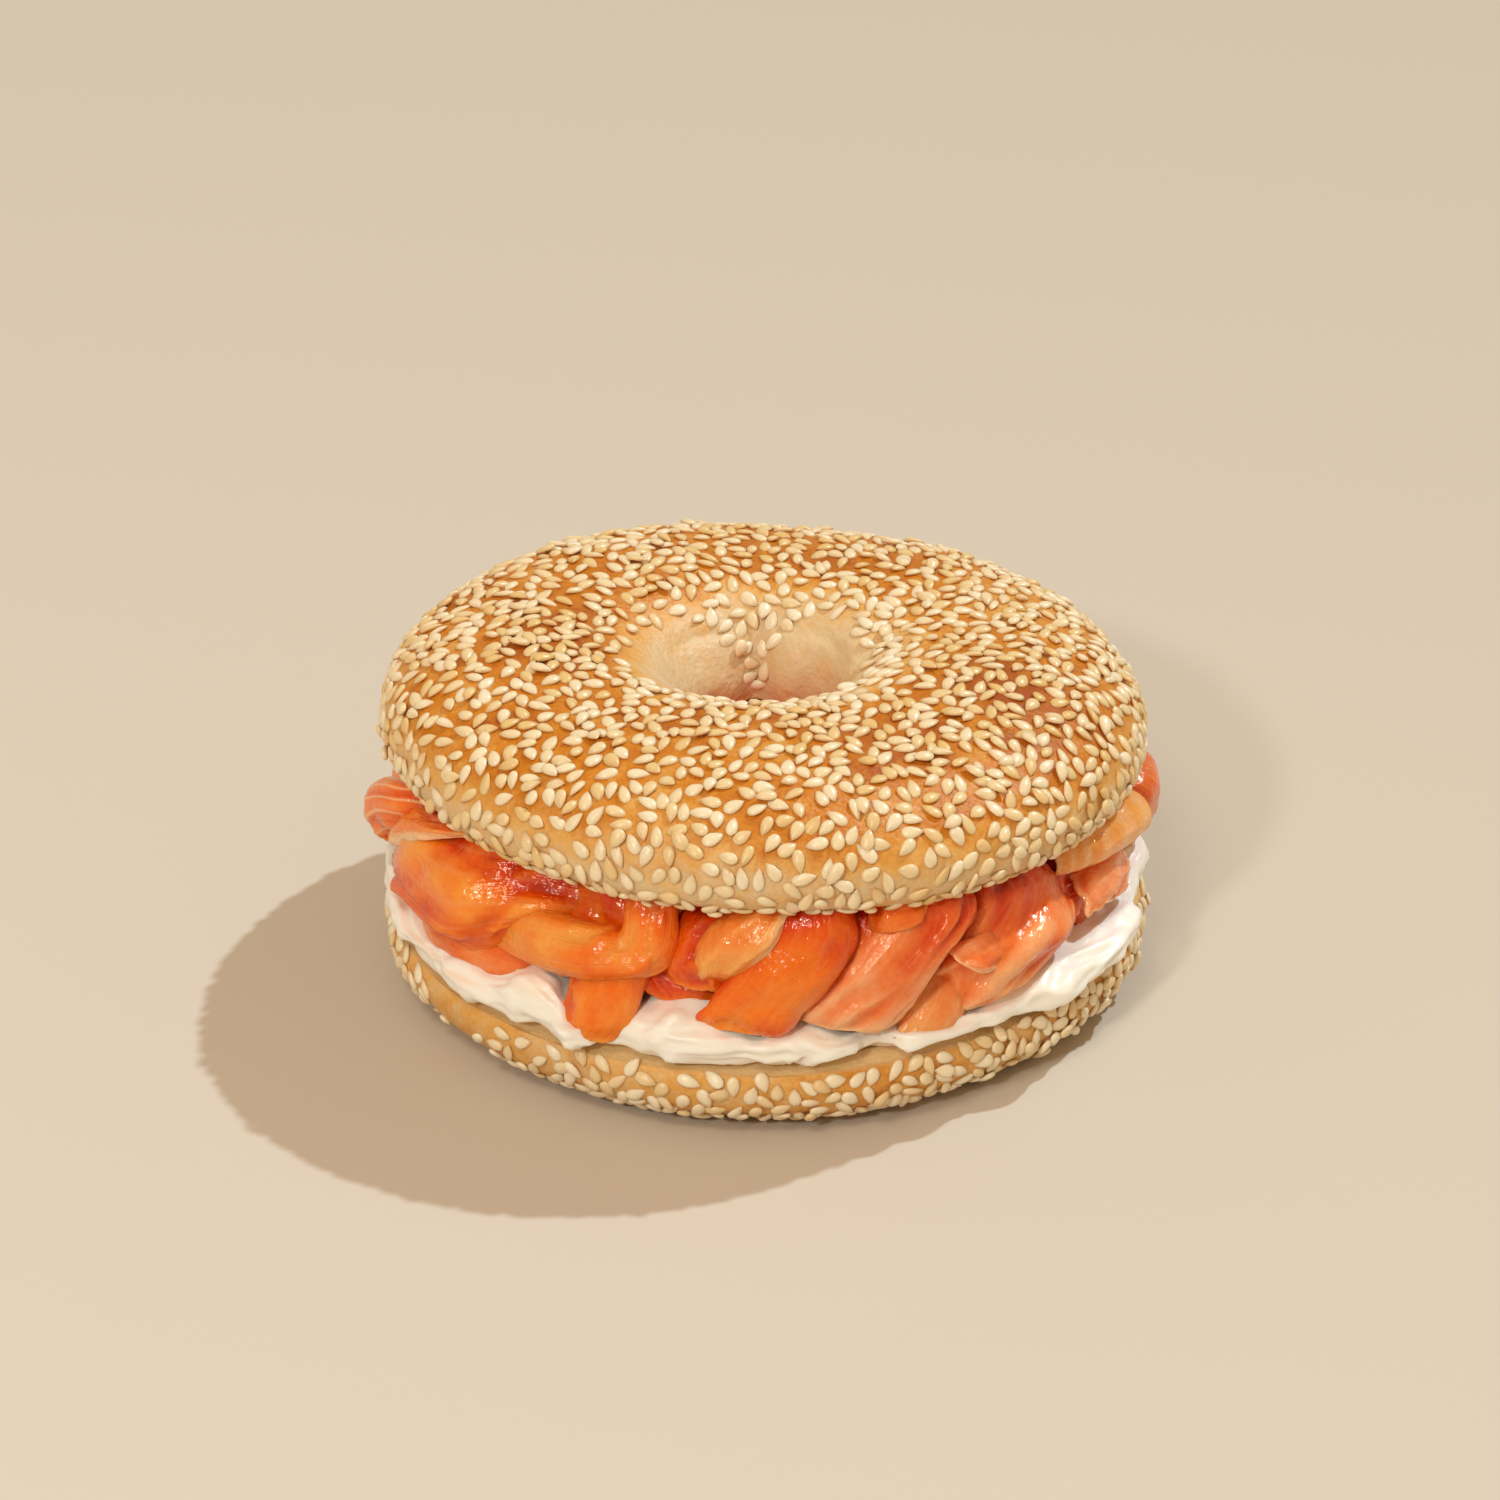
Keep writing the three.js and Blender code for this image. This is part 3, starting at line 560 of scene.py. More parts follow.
def make_seeds(name, spread, material, size, bake):
    """One mesh of all the seeds of a spread, more toasted where the crust under them is."""
    length, width, thickness = size
    template, faces, share = seed_template(length, width, thickness)
    count = len(spread.frames)
    grown = 1 + spread.random.normal(0, 0.07, (count, 3)).clip(-0.16, 0.16)
    places = np.array([frame[0] for frame in spread.frames])
    baked = bake(places, np.arctan2(places[:, 0], -places[:, 1]), np.full(count, 0.5))
    tone = np.clip(0.1 + 0.75 * spread.random.random(count) ** 1.5 + 0.7 * (baked - 0.45), 0, 1)
    every, all_faces, tones, tips = [], [], [], []
    for k, (centre, first, normal) in enumerate(spread.frames):
        second = np.cross(normal, first)
        local = template * grown[k]
        bend = 0.05 * local[:, 0] ** 2
        placed = centre + np.outer(local[:, 0], first) + np.outer(local[:, 1], second)
        placed = placed + np.outer(local[:, 2] + thickness / 2 - SEED_SINK - bend, normal)
        offset = k * len(template)
        every.append(placed)
        all_faces.extend([[corner + offset for corner in face] for face in faces])
        tones.append(np.full(len(template), tone[k]))
        tips.append(share)
    values = {"tone": np.concatenate(tones), "tip": np.concatenate(tips)}
    return new_object(name, np.vstack(every), all_faces, material, values)


def crown_keep(angle, way, points):
    """The share of seeds that stay: few in the hole, fewer in bare patches of the crust."""
    radius = from_axis(points)
    front = np.cos(angle - rad(40))
    left = near(angle, -85, 0.75)
    back = near(angle, 186, 0.42)
    rim_of_hole = 17.0 - 1.6 * front + 4.2 * left - 5.4 * back
    hole = ramp(radius, rim_of_hole - 1.5, rim_of_hole + 4 + 2 * back)
    bare = ramp(noise(points, 9, 61), -0.9, -0.5)
    rim = ramp(way, 0.0, 0.05)
    return hole * mix(0.45, 1, bare) * mix(0.35, 1, rim)


def base_keep(angle, way, points):
    """The share of seeds that stay: none on the bare crust at the left, all at the front right."""
    bare = near(angle, -54, 0.42) + 0.8 * near(angle, -5, 0.5) * ramp(way, 0.66, 0.74)
    patches = ramp(noise(points, 8, 71), -0.7, -0.1)
    full = near(angle, 50, 0.9)
    return np.clip((1 - np.clip(bare, 0, 1)) * mix(0.5, 1, np.maximum(patches, full)), 0, 1)


def base_pile(angle, way, points):
    """Where seeds lie on top of others: low on the front right."""
    return near(angle, 45, 0.7) * ramp(way, 0.2, 0.5)


# ---- cream cheese ----

# The spread's lobed edge: (degrees, radius).
CREAM_EDGE = [
    (-73, 57.2), (-56, 57.8), (-40, 57.8), (-32, 57.2), (-28, 59.6), (-24, 55.6), (-14, 57.8),
    (2, 56.4), (11, 56.8), (16.5, 53.2), (21, 57), (38, 56.6), (52, 58.4), (66, 58), (78, 55.8),
    (95, 56.4), (115, 55), (140, 57.4), (160, 55.8), (180, 57.2), (198, 56), (215, 57.6),
    (232, 55.6), (255, 57), (270, 56.2),
]
CREAM_LIP = 4.6  # how far the rounded rim reaches in from the edge
TOP_SPREAD = 0.92  # the share of the way out at which the rim begins
# Where the spread is pushed up between the slices, and down under the tongue: (degrees, height, width).
CREAM_MOUNDS = [(-36.5, 4.6, 0.1), (-12, 2.4, 0.15), (25, -1.6, 0.16), (-26, -2.8, 0.08)]


def cream_top(angle, share):
    """Height of the spread's top over its underside, with the knife's long swirls."""
    height = mm(bpy.context.scene.bagel_cream.height)
    swirl = 0.5 * np.cos(3 * angle + 9 * share) + 0.35 * np.cos(7 * angle - 6 * share + 1)
    for centre, rise, wide in CREAM_MOUNDS:
        height = height + rise * near(angle, centre, wide) * bump(share - 0.86, 0.11)
    return height + swirl * share**8 + 1.3 * bump(share - 0.78, 0.14) - 1.6 * bump(share, 0.22)


def cream_relief(points, angle, share):
    """Soft lumps, and ridges that run along the edge where the knife went."""
    edge = ramp(share, 0.66, 0.9)
    out = from_axis(points)
    drift = 1.6 * noise(points, 9, 80)
    stretched = np.stack([angle * 4.5, out * 0.5 + drift, points[..., 2] * 0.5], -1)
    crest = np.sqrt(noise(stretched, 1.0, 81) ** 2 + 0.03)
    ridges = 0.8 - 1.5 * crest + 0.35 * noise(stretched, 0.5, 83)
    lumps = layered(points, 7, 85)
    fine = noise(points, 1.8, 87)
    peaks = 0.5 * np.maximum(noise(points, 3.2, 88), 0)
    return edge * (0.85 * ridges - 0.25 + 1.0 * lumps + 0.14 * fine + peaks)


def cream_stain(points, angle):
    """Where the salmon's juice has stained the spread: near the slices at the left, in thin lines."""
    touched = near(angle, -55, 0.35) + 0.5 * near(angle, 20, 0.6)
    inside = 1 - ramp(from_axis(points), 52.5, 56.5)
    stretched = np.stack([angle * 3, angle * 0, points[..., 2] * 1.1], -1)
    lines = ramp(noise(stretched, 1.0, 92), 0.1, 0.5)
    return np.clip(touched * (0.55 * inside + 0.5 * lines * ramp(points[..., 2], 14, 16)), 0, 1)


def make_cream(material, segments=420, floor_rows=8, lip_rows=44, top_rows=40):
    """The spread: its underside from the middle out, its rounded rim, and its top back to the middle."""
    angle = circle(segments)
    edge = around(CREAM_EDGE, angle) + 0.35 * noise(np.stack([angle * 12, angle * 0, angle * 0], -1), 1, 89)
    inside = edge - CREAM_LIP
    rings = []
    for share in np.linspace(0.1, 0.9, floor_rows):
        rings.append((ring_points(angle, share * inside, CREAM_FLOOR), share * 0.5))
    top = cream_top(angle, np.full(segments, TOP_SPREAD))
    for turn in np.linspace(-np.pi / 2, np.pi / 2, lip_rows):
        radius = inside + CREAM_LIP * bent(np.cos(turn), 2.5)
        height = CREAM_FLOOR + top * 0.5 * (1 + bent(np.sin(turn), 2.5))
        rings.append((ring_points(angle, radius, height), 0.95))
    for share in np.linspace(1, 0.12, top_rows)[1:]:
        height = CREAM_FLOOR + cream_top(angle, np.full(segments, TOP_SPREAD * share))
        rings.append((ring_points(angle, share * inside, height), TOP_SPREAD * share))
    points = np.stack([ring for ring, _ in rings])
    share = np.stack([np.full(segments, value) for _, value in rings])
    angles = np.broadcast_to(angle, share.shape)
    lift = cream_relief(points, angles, share)
    lift[: floor_rows + 1] = 0
    points = points + grid_normals(points, True) * lift[..., None]
    values = {"stain": np.append(cream_stain(points, angles), [0, 0])}
    return new_object("cream_spread", *capped(points), material, values)


# ---- smoked salmon ----


def sheet(first, second, **settings):
    """A slice's settings, with its two edges: each is a curve through (degrees, radius, height) points."""
    return {"edges": (first, second), **settings}


# Each slice is a sheet that bulges outwards between its edges. `bulge` says how far it stands out, `lean`
# and `skew` move the bulge towards one edge, and `tuck` is how far the sheet goes on inwards behind each
# edge. `tint` runs from 0, deep red, to 1, pale, from one end to the other. `pink`, `fatty` and `pale_edge`
# are shares of those colours. `gather` is the depth of its folds, `spacing` how far apart they are, and
# `slant` how they run. `rounded`, `ragged` and `torn` cut its ends and sides back, and a `free` side isn't
# tucked. A crease is (its place at the start, at the end, depth, width).
# Most tint tables run darker towards their top end, under the crown: there they hold painted shade from the
# crown as well as the flesh's own colour.
BACK_LOOK = {"tint": (0.52, 0.6, 0.66, 0.72), "gather": 0.45, "fatty": 0.1}
SLICES = {
    "salmon_left_tail": sheet(
        ((-68, 46, 32.5), (-73, 52.5, 33), (-81, 56, 30), (-86, 57.2, 25.5), (-87, 57.4, 21.6)),
        ((-66, 46, 28), (-74, 51.5, 26), (-80, 54.4, 24), (-82, 56, 22.8), (-84, 56.4, 20.8)),
        bulge=(1.6, 2.6, 2, 1, 0.4), tuck=(3, 1), tint=(0.5, 0.7, 0.8, 0.8), pink=0.45, fatty=0.8,
        spacing=3.2, slant=0.1, ragged=(0, 0.05),
        creases=((0.35, 0.35, 0.4, 0.05), (0.55, 0.6, 0.45, 0.06), (0.7, 0.76, 0.3, 0.05)),
    ),
    "salmon_left_shoulder": sheet(
        ((-48, 47, 37), (-62, 50.5, 33.4), (-72, 51, 29.6), (-80, 52, 25.4)),
        ((-46, 48, 36.8), (-58, 52.5, 33.2), (-68, 55, 28.4), (-79, 55.6, 21.6)),
        bulge=(0.4, 1, 1.4, 1), tuck=(1, 1), tint=(0.5, 0.7, 0.78, 0.72), pink=0.2, pale_edge=0.9,
        slant=-0.3, free=(False, True), torn=0.01, creases=((0.5, 0.6, 0.3, 0.08),),
    ),
    "salmon_left_belly": sheet(
        ((-82, 51, 21.6), (-68, 49.6, 29.4), (-52, 49, 33), (-40, 46, 32), (-27, 42.6, 30.5)),
        ((-77, 53.4, 17.8), (-66, 54.5, 19.2), (-50, 53, 19.6), (-40, 50, 23.8), (-27, 44, 25.2)),
        bulge=(1.4, 4, 5, 3, 0.6), lean=0.25, tuck=(1, 4), tint=(0.76, 0.74, 0.72, 0.76, 0.86),
        fatty=0.1, gather=0.9, spacing=6, slant=0.55, rounded=(0.12, 0.05),
        creases=(
            (0.25, 0.5, 0.9, 0.05), (0.4, 0.56, -0.7, 0.06), (0.6, 0.62, 0.8, 0.04), (0.76, 0.7, 0.6, 0.04)
        ),
    ),
    "salmon_left_under": sheet(
        ((-70, 49, 20.6), (-55, 48, 20.5), (-42, 47, 21), (-34, 46, 22.4)),
        ((-65, 54, 17.2), (-54, 54.2, 16.9), (-44, 52.8, 17.2), (-37, 50.6, 18)),
        bulge=(1.2, 1.8, 1.8, 1.2), lean=0.1, tuck=(0.5, 0.8), tint=(0.72, 0.69, 0.62, 0.57),
        pink=0.75, rounded=(0.2, 0.1), creases=((0.5, 0.55, 0.3, 0.08),),
    ),
    "salmon_pouch": sheet(
        ((-47, 49.4, 23.4), (-35, 51.5, 27.2), (-25, 51.5, 27.4), (-21, 50.5, 28), (-21, 48, 36)),
        ((-46, 52, 20.2), (-32, 53.5, 22.6), (-24, 53.5, 23.8), (-16.5, 52, 26), (-15, 49, 36)),
        bulge=(1.4, 2.4, 2.8, 2.8, 1.8), skew=0.85, tuck=(1, 0.6), tint=(0.72, 0.82, 0.78, 0.72, 0.68),
        pink=0.15, pale_edge=0.3, gather=0.7, rounded=(0.2, 0.02),
        creases=((0.36, 0.42, -0.6, 0.07), (0.66, 0.62, 0.5, 0.05)),
        also=sheet(
            ((-28.4, 51, 24.5), (-29, 53.4, 19.4), (-29.4, 54.6, 15.6), (-29.2, 56, 12.6)),
            ((-19, 51, 25), (-20.6, 52.5, 20.6), (-21.8, 54.2, 16), (-24.2, 55.8, 12.6)),
            bulge=(2.2, 2, 1.6, 0.6), tuck=(0.4, 0.8), tint=(0.56, 0.66, 0.7, 0.72), gather=0.35,
            slant=-0.3, rounded=(0, 0.12), creases=((0.3, 0.45, 0.4, 0.06), (0.62, 0.5, 0.3, 0.05)),
        ),
    ),
    "salmon_torn_edge": sheet(
        ((-12, 46.6, 33), (-14.4, 48, 29), (-15, 49.4, 24), (-12.5, 50.8, 20.4)),
        ((2, 48, 36), (0.5, 50.4, 32.4), (-3, 50.8, 26.4), (-6.5, 50.6, 20.6)),
        bulge=(1, 2.8, 3.2, 1.4), lean=0.1, skew=0.9, tuck=(2, 0.5), tint=(0.5, 0.68, 0.72, 0.66),
        gather=0.8, slant=-0.5, free=(True, False), torn=0.02,
        creases=((0.35, 0.5, 0.5, 0.06), (0.55, 0.3, 0.4, 0.05)),
    ),
    "salmon_torn_scrap": sheet(
        ((-20, 48, 25), (-19, 50, 21), (-15, 51, 18)),
        ((-11, 46, 24), (-10, 49, 21), (-8, 50.4, 18.6)),
        bulge=(0.6, 0.8, 0.6), tuck=(1, 1), tint=(0.35, 0.45, 0.6), pink=0.15, ragged=(0, 0.08),
        free=(True, False), torn=0.04,
    ),
    "salmon_middle": sheet(
        ((5, 48, 36), (3, 50.5, 31.8), (-2.6, 52.5, 25.6), (-7, 53.4, 20), (-8.6, 53.6, 16.6)),
        ((11.5, 49, 36), (12, 52.5, 30.4), (9, 54, 25), (4, 54.2, 19.6), (0, 54, 15.6)),
        bulge=(2, 3.2, 3.4, 2.4, 1), lean=0.2, skew=1.7, tuck=(0.8, 1.5),
        tint=(0.28, 0.38, 0.48, 0.54, 0.62), pale_edge=-0.4, gather=0.7, spacing=7, slant=0.15,
        rounded=(0, 0.0), ragged=(0, 0.02), creases=((0.72, 0.5, -0.8, 0.09), (0.45, 0.3, 0.5, 0.05)),
    ),
    "salmon_middle_right": sheet(
        ((16, 47.4, 35.6), (15, 48.8, 29.6), (12, 50.2, 24.4), (7.5, 51.4, 19.6), (5.5, 52, 16.4)),
        ((32, 48, 35), (32.5, 51.6, 30), (25.5, 53.6, 25.4), (20.5, 53.8, 19.4), (15, 53.6, 14.4)),
        bulge=(2.2, 3.6, 3.8, 2.6, 1.2), lean=0.1, skew=0.8, tuck=(1, 1),
        tint=(0.3, 0.5, 0.64, 0.74, 0.84), pink=0.95, fatty=0.06, gather=0.7, slant=0.2,
        rounded=(0, 0.14), creases=((0.32, 0.26, -0.7, 0.08), (0.62, 0.5, 0.6, 0.06)),
    ),
    "salmon_right": sheet(
        ((38, 47.4, 34.4), (36, 50, 29), (28.5, 51.6, 23.6), (30, 52.4, 19.4), (29.6, 53, 15)),
        ((50, 47.4, 32.4), (57, 47, 24.4), (52, 53.2, 21), (40.5, 53.6, 17.4), (32.5, 53.2, 14.8)),
        bulge=(1.5, 3.2, 4, 2.4, 0.8), lean=0.1, skew=0.85, tuck=(2, 1),
        tint=(0.3, 0.5, 0.7, 0.78, 0.82), pink=0.8, fatty=0.1, gather=1.0, spacing=6, slant=0.4,
        creases=((0.3, 0.3, 0.7, 0.06), (0.5, 0.4, -0.8, 0.07), (0.68, 0.6, 0.6, 0.05)),
    ),
    "salmon_right_low": sheet(
        ((27, 48, 23), (24.6, 51.6, 19), (19.6, 54.4, 13.4)),
        ((34, 47, 22), (31, 51.4, 18), (28, 54.6, 12.8)),
        bulge=(1, 1.4, 1), tuck=(0.5, 0.5), tint=(0.71, 0.81, 0.87), pink=0.5, fatty=0.25,
    ),
    "salmon_right_scrap": sheet(
        ((60, 48, 25), (68, 51.5, 24.4), (76, 53, 23)),
        ((58, 53, 20.6), (65, 54, 20.6), (76, 54.4, 18)),
        bulge=(0.2, 0.5, 0.3), tuck=(0.5, 0.3), tint=(0.74, 0.78, 0.8), pink=1.0, gather=0.8,
        ragged=(0.05, 0.08), free=(False, True), torn=0.05,
    ),
    "salmon_back_right": sheet(
        ((82, 47.5, 32), (81, 51.5, 27), (85, 53, 21.4), (90, 53.2, 15.4)),
        ((102, 47.5, 32), (103, 51.5, 27), (107, 53, 20.4), (106, 53.2, 15.4)),
        bulge=(1.2, 5.6, 4.4, 1.4), lean=-0.2, tuck=(3, 3), pink=0.7,
        creases=((0.3, 0.35, 0.6, 0.06), (0.66, 0.6, 0.5, 0.06)), **BACK_LOOK,
    ),
    "salmon_back_pleat": sheet(
        ((104, 47.5, 32), (105, 51, 27), (109, 52.6, 21), (108, 53, 15.4)),
        ((121, 47.5, 32), (123, 51, 27), (124, 52.6, 21), (121, 53, 15.4)),
        bulge=(1.6, 2.4, 2.6, 1.2), lean=0.2, tuck=(2, 2), pink=0.4, creases=((0.4, 0.3, 0.5, 0.07),),
        **BACK_LOOK,
    ),
    "salmon_back_belly": sheet(
        ((125, 46, 28), (140, 50, 29), (158, 50, 29), (171, 46, 28)),
        ((124, 52, 18.8), (138, 53.4, 18.6), (156, 53.4, 18.4), (171, 51, 20)),
        bulge=(2, 4, 4.2, 2), lean=0.2, tuck=(2, 3), pink=0.15,
        creases=((0.35, 0.5, 0.7, 0.06), (0.66, 0.72, 0.5, 0.05)), **BACK_LOOK,
    ),
    "salmon_back_fold": sheet(
        ((171, 47, 33), (173, 51.5, 27.5), (179, 53, 21.4), (183, 53.2, 15.4)),
        ((189, 47.5, 33), (192, 51.5, 27.5), (197, 53, 20.4), (196, 53.2, 15.4)),
        bulge=(2, 3.4, 3.2, 1.4), lean=-0.2, tuck=(3, 3), pink=0.6,
        creases=((0.3, 0.4, 0.5, 0.06), (0.6, 0.7, 0.5, 0.06)), **BACK_LOOK,
    ),
    "salmon_back_drape": sheet(
        ((191, 47.5, 33), (194, 51, 27), (199, 52.6, 21), (199, 53, 15.4)),
        ((208, 47.5, 33), (210, 51, 27), (212, 52.6, 21), (213, 53, 15.4)),
        bulge=(1.6, 2.6, 2.4, 1.2), lean=0.2, tuck=(2, 2), pink=0.2, creases=((0.5, 0.4, 0.5, 0.07),),
        **BACK_LOOK,
    ),
    "salmon_back_left": sheet(
        ((210, 47.5, 33), (212, 51.5, 28), (214, 53, 21.4), (216, 53.2, 15.4)),
        ((230, 47.5, 34), (232, 51.5, 28), (231, 53, 21.4), (232, 53.2, 15.4)),
        bulge=(2, 3.2, 3.4, 1.4), lean=0.2, tuck=(3, 3), pink=0.5,
        creases=((0.35, 0.3, 0.6, 0.06), (0.7, 0.6, 0.4, 0.05)), **BACK_LOOK,
    ),
    "salmon_left_back": sheet(
        ((234, 47, 31), (247, 51, 31), (259, 50, 30), (268, 48, 28)),
        ((234, 52, 18.8), (247, 53.6, 18.4), (260, 53.2, 18.6), (270, 50, 20)),
        bulge=(2, 3.6, 3.4, 1.6), lean=0.2, tuck=(2, 3), pink=0.15,
        creases=((0.3, 0.45, 0.6, 0.06), (0.6, 0.7, 0.6, 0.05)), **BACK_LOOK,
    ),
}
# Thin loose ends that lie on the slices, and the heap's slices that show deep in the gaps: each has the
# name of the piece that it is part of.
POCKET = {"part_of": "salmon_heap", "tuck": (0.4, 0.4)}
NARROW = {"bulge": (0.4, 0.6, 0.4), "gather": 1.2, "spacing": 4.4}
FLAPS = {
    "left_pocket": sheet(
        ((-37, 44.5, 32.5), (-30, 44.5, 33), (-23, 45.5, 33.6), (-13, 46.5, 34)),
        ((-38, 49, 23), (-31, 49.4, 23), (-24, 49.4, 23), (-13, 48.6, 23)),
        bulge=(0.2, 0.6, 0.6, 0.6), tint=(0.94, 0.92, 0.86, 0.84), pink=0.0, gather=1.3, spacing=4.2,
        slant=-0.4, **POCKET,
    ),
    "right_pocket": sheet(
        ((46, 46, 33), (57, 47, 32), (70, 48, 31)),
        ((48, 49.6, 20), (60, 50.6, 18), (73, 51, 17)),
        tint=(0.6, 0.6, 0.6), slant=0.5, **POCKET, **NARROW,
    ),
    "curl_pocket": sheet(
        ((74, 47, 31), (80, 48, 31), (86, 48, 31)),
        ((74, 51, 18), (80, 51.4, 18), (86, 51, 18)),
        tint=(0.4, 0.45, 0.4), slant=-0.5, **POCKET, **NARROW,
    ),
    "back_pocket": sheet(
        ((163, 46, 33), (170, 47, 33), (177, 47, 33)),
        ((163, 50, 19), (170, 50.6, 18), (177, 50.6, 18)),
        tint=(0.4, 0.45, 0.4), slant=0.5, **POCKET, **NARROW,
    ),
    "torn_flap": sheet(
        ((-4.4, 50, 34.6), (-7, 51.5, 31.9), (-9, 52.5, 28.7), (-9.5, 52.4, 25), (-9, 50.4, 22)),
        ((3.4, 51, 36), (2, 53, 33.3), (0.6, 54.2, 30.5), (-2, 53.6, 26.4), (-4, 51, 22)),
        part_of="salmon_torn_edge", bulge=(0.8, 1.6, 1.8, 1, 0.2), tuck=(1.6, 0),
        tint=(0.75, 0.9, 0.95, 0.8), pink=0.3, pale_edge=0.6, rounded=(0, 0.25), free=(False, True),
        torn=0.02,
    ),
    "middle_right_lip": sheet(
        ((15.8, 50, 33.4), (18, 51.5, 34), (21.5, 52.3, 34), (26, 51.5, 33.5)),
        ((16, 51.8, 31.2), (18, 53.5, 31.6), (21.5, 54.3, 32.2), (25.4, 52.8, 32.6)),
        part_of="salmon_middle_right", bulge=(0.1, 0.4, 0.4, 0.1), tuck=(1, 0),
        tint=(0.4, 0.5, 0.55, 0.55), pink=0.4, free=(False, True), torn=0.02,
    ),
    "right_fold": sheet(
        ((40, 51.5, 25.4), (33, 53.6, 25.4), (27.6, 54.4, 25)),
        ((39, 53.6, 22.4), (33.4, 55.9, 22.8), (28.2, 56.2, 23.9)),
        part_of="salmon_right", bulge=(0.1, 0.5, 0.5), tuck=(1, 0), tint=(0.4, 0.6, 0.75), pink=0.85,
        pale_edge=0.5, rounded=(0, 0.35), free=(False, True), torn=0.015,
    ),
}
FRONT_SLICES = [name for name in SLICES if "back" not in name]
BACK_SLICES = [name for name in SLICES if "back" in name]

# The slice that is rolled up at the right: a spiral about an axis, wider at its outer end.
CURL = {
    "axis": ((55, 49, 28.6), (63, 51.6, 28.8), (77, 54.6, 28)),
    "radius": (3.4, 5.2),
    "start": 150,
    "sweep": 410,
    "shrink": 0.7,
    "thickness": 1.1,
}
TUCK_SHARE = 0.16  # share of a slice's width taken by each tuck
TUCK_TURN = 0.8  # how far a tuck curls under, in radians
SQUARE = 2.15  # how square a slice's bulge is: 2 is round
CROWDED = 0.6  # how far a sheet's points are crowded towards its borders
BORDER_ROUND = 0.45  # how wide the rounding of a sheet's border is
BORDER_THIN = 3.4  # how far in from its border a sheet gets its full thickness
BORDER_FLAT = 1.5  # how far in its relief gets its full depth


def outwards(at, line):
    """Out from the bagel's axis and slightly up, square to the line."""
    out = unit(at * [1, 1, 0])
    out = out + [0, 0, 0.35]
    line = unit(line)
    return unit(out - line * np.sum(out * line, -1, keepdims=True))


def slice_surface(u, v, outset, edges, bulge, tuck, lean=0.0, skew=1.2, **_):
    """A slice's sheet, u along its edges and v from the first edge's tuck to the second one's."""
    start, end = ring_curve(edges[0], u), ring_curve(edges[1], u)
    middle = (start + end) / 2
    half = (end - start) / 2
    out = outwards(middle, half)
    wide = np.linalg.norm(half, axis=-1, keepdims=True)
    half = half * (wide + outset[..., None]) / wide
    share = (np.clip(v, TUCK_SHARE, 1 - TUCK_SHARE) - TUCK_SHARE) / (1 - 2 * TUCK_SHARE)
    turn = np.pi * share**skew
    across = -bent(np.cos(turn), SQUARE)
    height = bent(np.sin(turn), SQUARE)
    before = np.maximum(1 - v / TUCK_SHARE, 0)
    after = np.maximum(1 - (1 - v) / TUCK_SHARE, 0)
    under = np.cos(TUCK_TURN * (before + after))
    inwards = (np.sin(TUCK_TURN * before) * tuck[0] + np.sin(TUCK_TURN * after) * tuck[1]) / np.sin(TUCK_TURN)
    sideways = across * under + lean * height * (1 - across**2)
    outward = (along(bulge, u) + outset) * height - inwards
    return middle + half * sideways[..., None] + out * outward[..., None]


def curl_surface(u, v, outset, axis, radius, start, sweep, shrink, **_):
    """The rolled slice, u along its axis and v from its outer border round to the middle of the roll."""
    at = ring_curve(axis, u)
    line = unit(ring_curve(axis, u + 0.01) - ring_curve(axis, u - 0.01))
    out = outwards(at, line)
    up = -np.cross(line, out)
    up = up * np.where(up[..., 2:] < 0, -1, 1)
    turn = rad(start - sweep * v)
    reach = mix(*radius, u) * (1 - shrink * v) + outset
    return at + out * (reach * np.cos(turn))[..., None] + up * (reach * np.sin(turn))[..., None]


def sheet_steps(count):
    """Steps from 0 to 1 that lie close together near both ends."""
    t = np.linspace(0, 1, count)
    return mix(t, 0.5 - 0.5 * np.cos(np.pi * t), CROWDED)


def make_sheet(surface, relief_of, values_of, counts, thickness, seed):
    """A closed sheet with thin rounded borders; `relief_of` says how far its outer face stands out."""
    inner, outer = thickness
    rows, columns = counts
    u, v = np.meshgrid(sheet_steps(rows), sheet_steps(columns), indexing="ij")
    middle_face = surface(u, v, np.full(u.shape, outer))
    long = np.linalg.norm(np.diff(middle_face, axis=0), axis=-1).sum(0).mean()
    wide = np.linalg.norm(np.diff(middle_face, axis=1), axis=-1).sum(1).mean()
    border = np.minimum(np.minimum(u, 1 - u) * long, np.minimum(v, 1 - v) * wide)
    rounded = np.sqrt(np.clip(1 - (1 - np.clip(border / BORDER_ROUND, 0, 1)) ** 2, 0, 1))
    full = rounded * mix(0.45, 1, ramp(border, 0, BORDER_THIN))
    half = (outer - inner) / 2 * full
    centre = (outer + inner) / 2
    flat = np.stack([u * long, v * wide, np.full(u.shape, seed * 7.3)], -1)
    outer_face = surface(u, v, centre + half)
    inner_face = surface(u, v, centre - half)
    out = grid_normals(outer_face)
    away = np.sum(out * outer_face * [1, 1, 0], -1).mean()
    out = out * (1 if away > 0 else -1)
    lift = relief_of(u, v, flat) * ramp(border, 0, BORDER_FLAT)
    outer_face = outer_face + out * lift[..., None]
    count = rows * columns
    points = np.vstack([outer_face.reshape(-1, 3), inner_face.reshape(-1, 3)])
    front = grid_faces(rows, columns)
    back = grid_faces(rows, columns, first=count)[:, ::-1]
    faces = faces_out(points, np.vstack([front, back, rim_faces(rows, columns, count)]))
    flat_map = np.tile(flat[..., :2].reshape(-1, 2), (2, 1)) + [seed * 13.7, seed * 5.1]
    sides = [values_of(u, v, face, lift, border) for face in (outer_face, inner_face)]
    values = {key: np.concatenate([side[key].ravel() for side in sides]) for key in sides[0]}
    return points, faces, values, flat_map


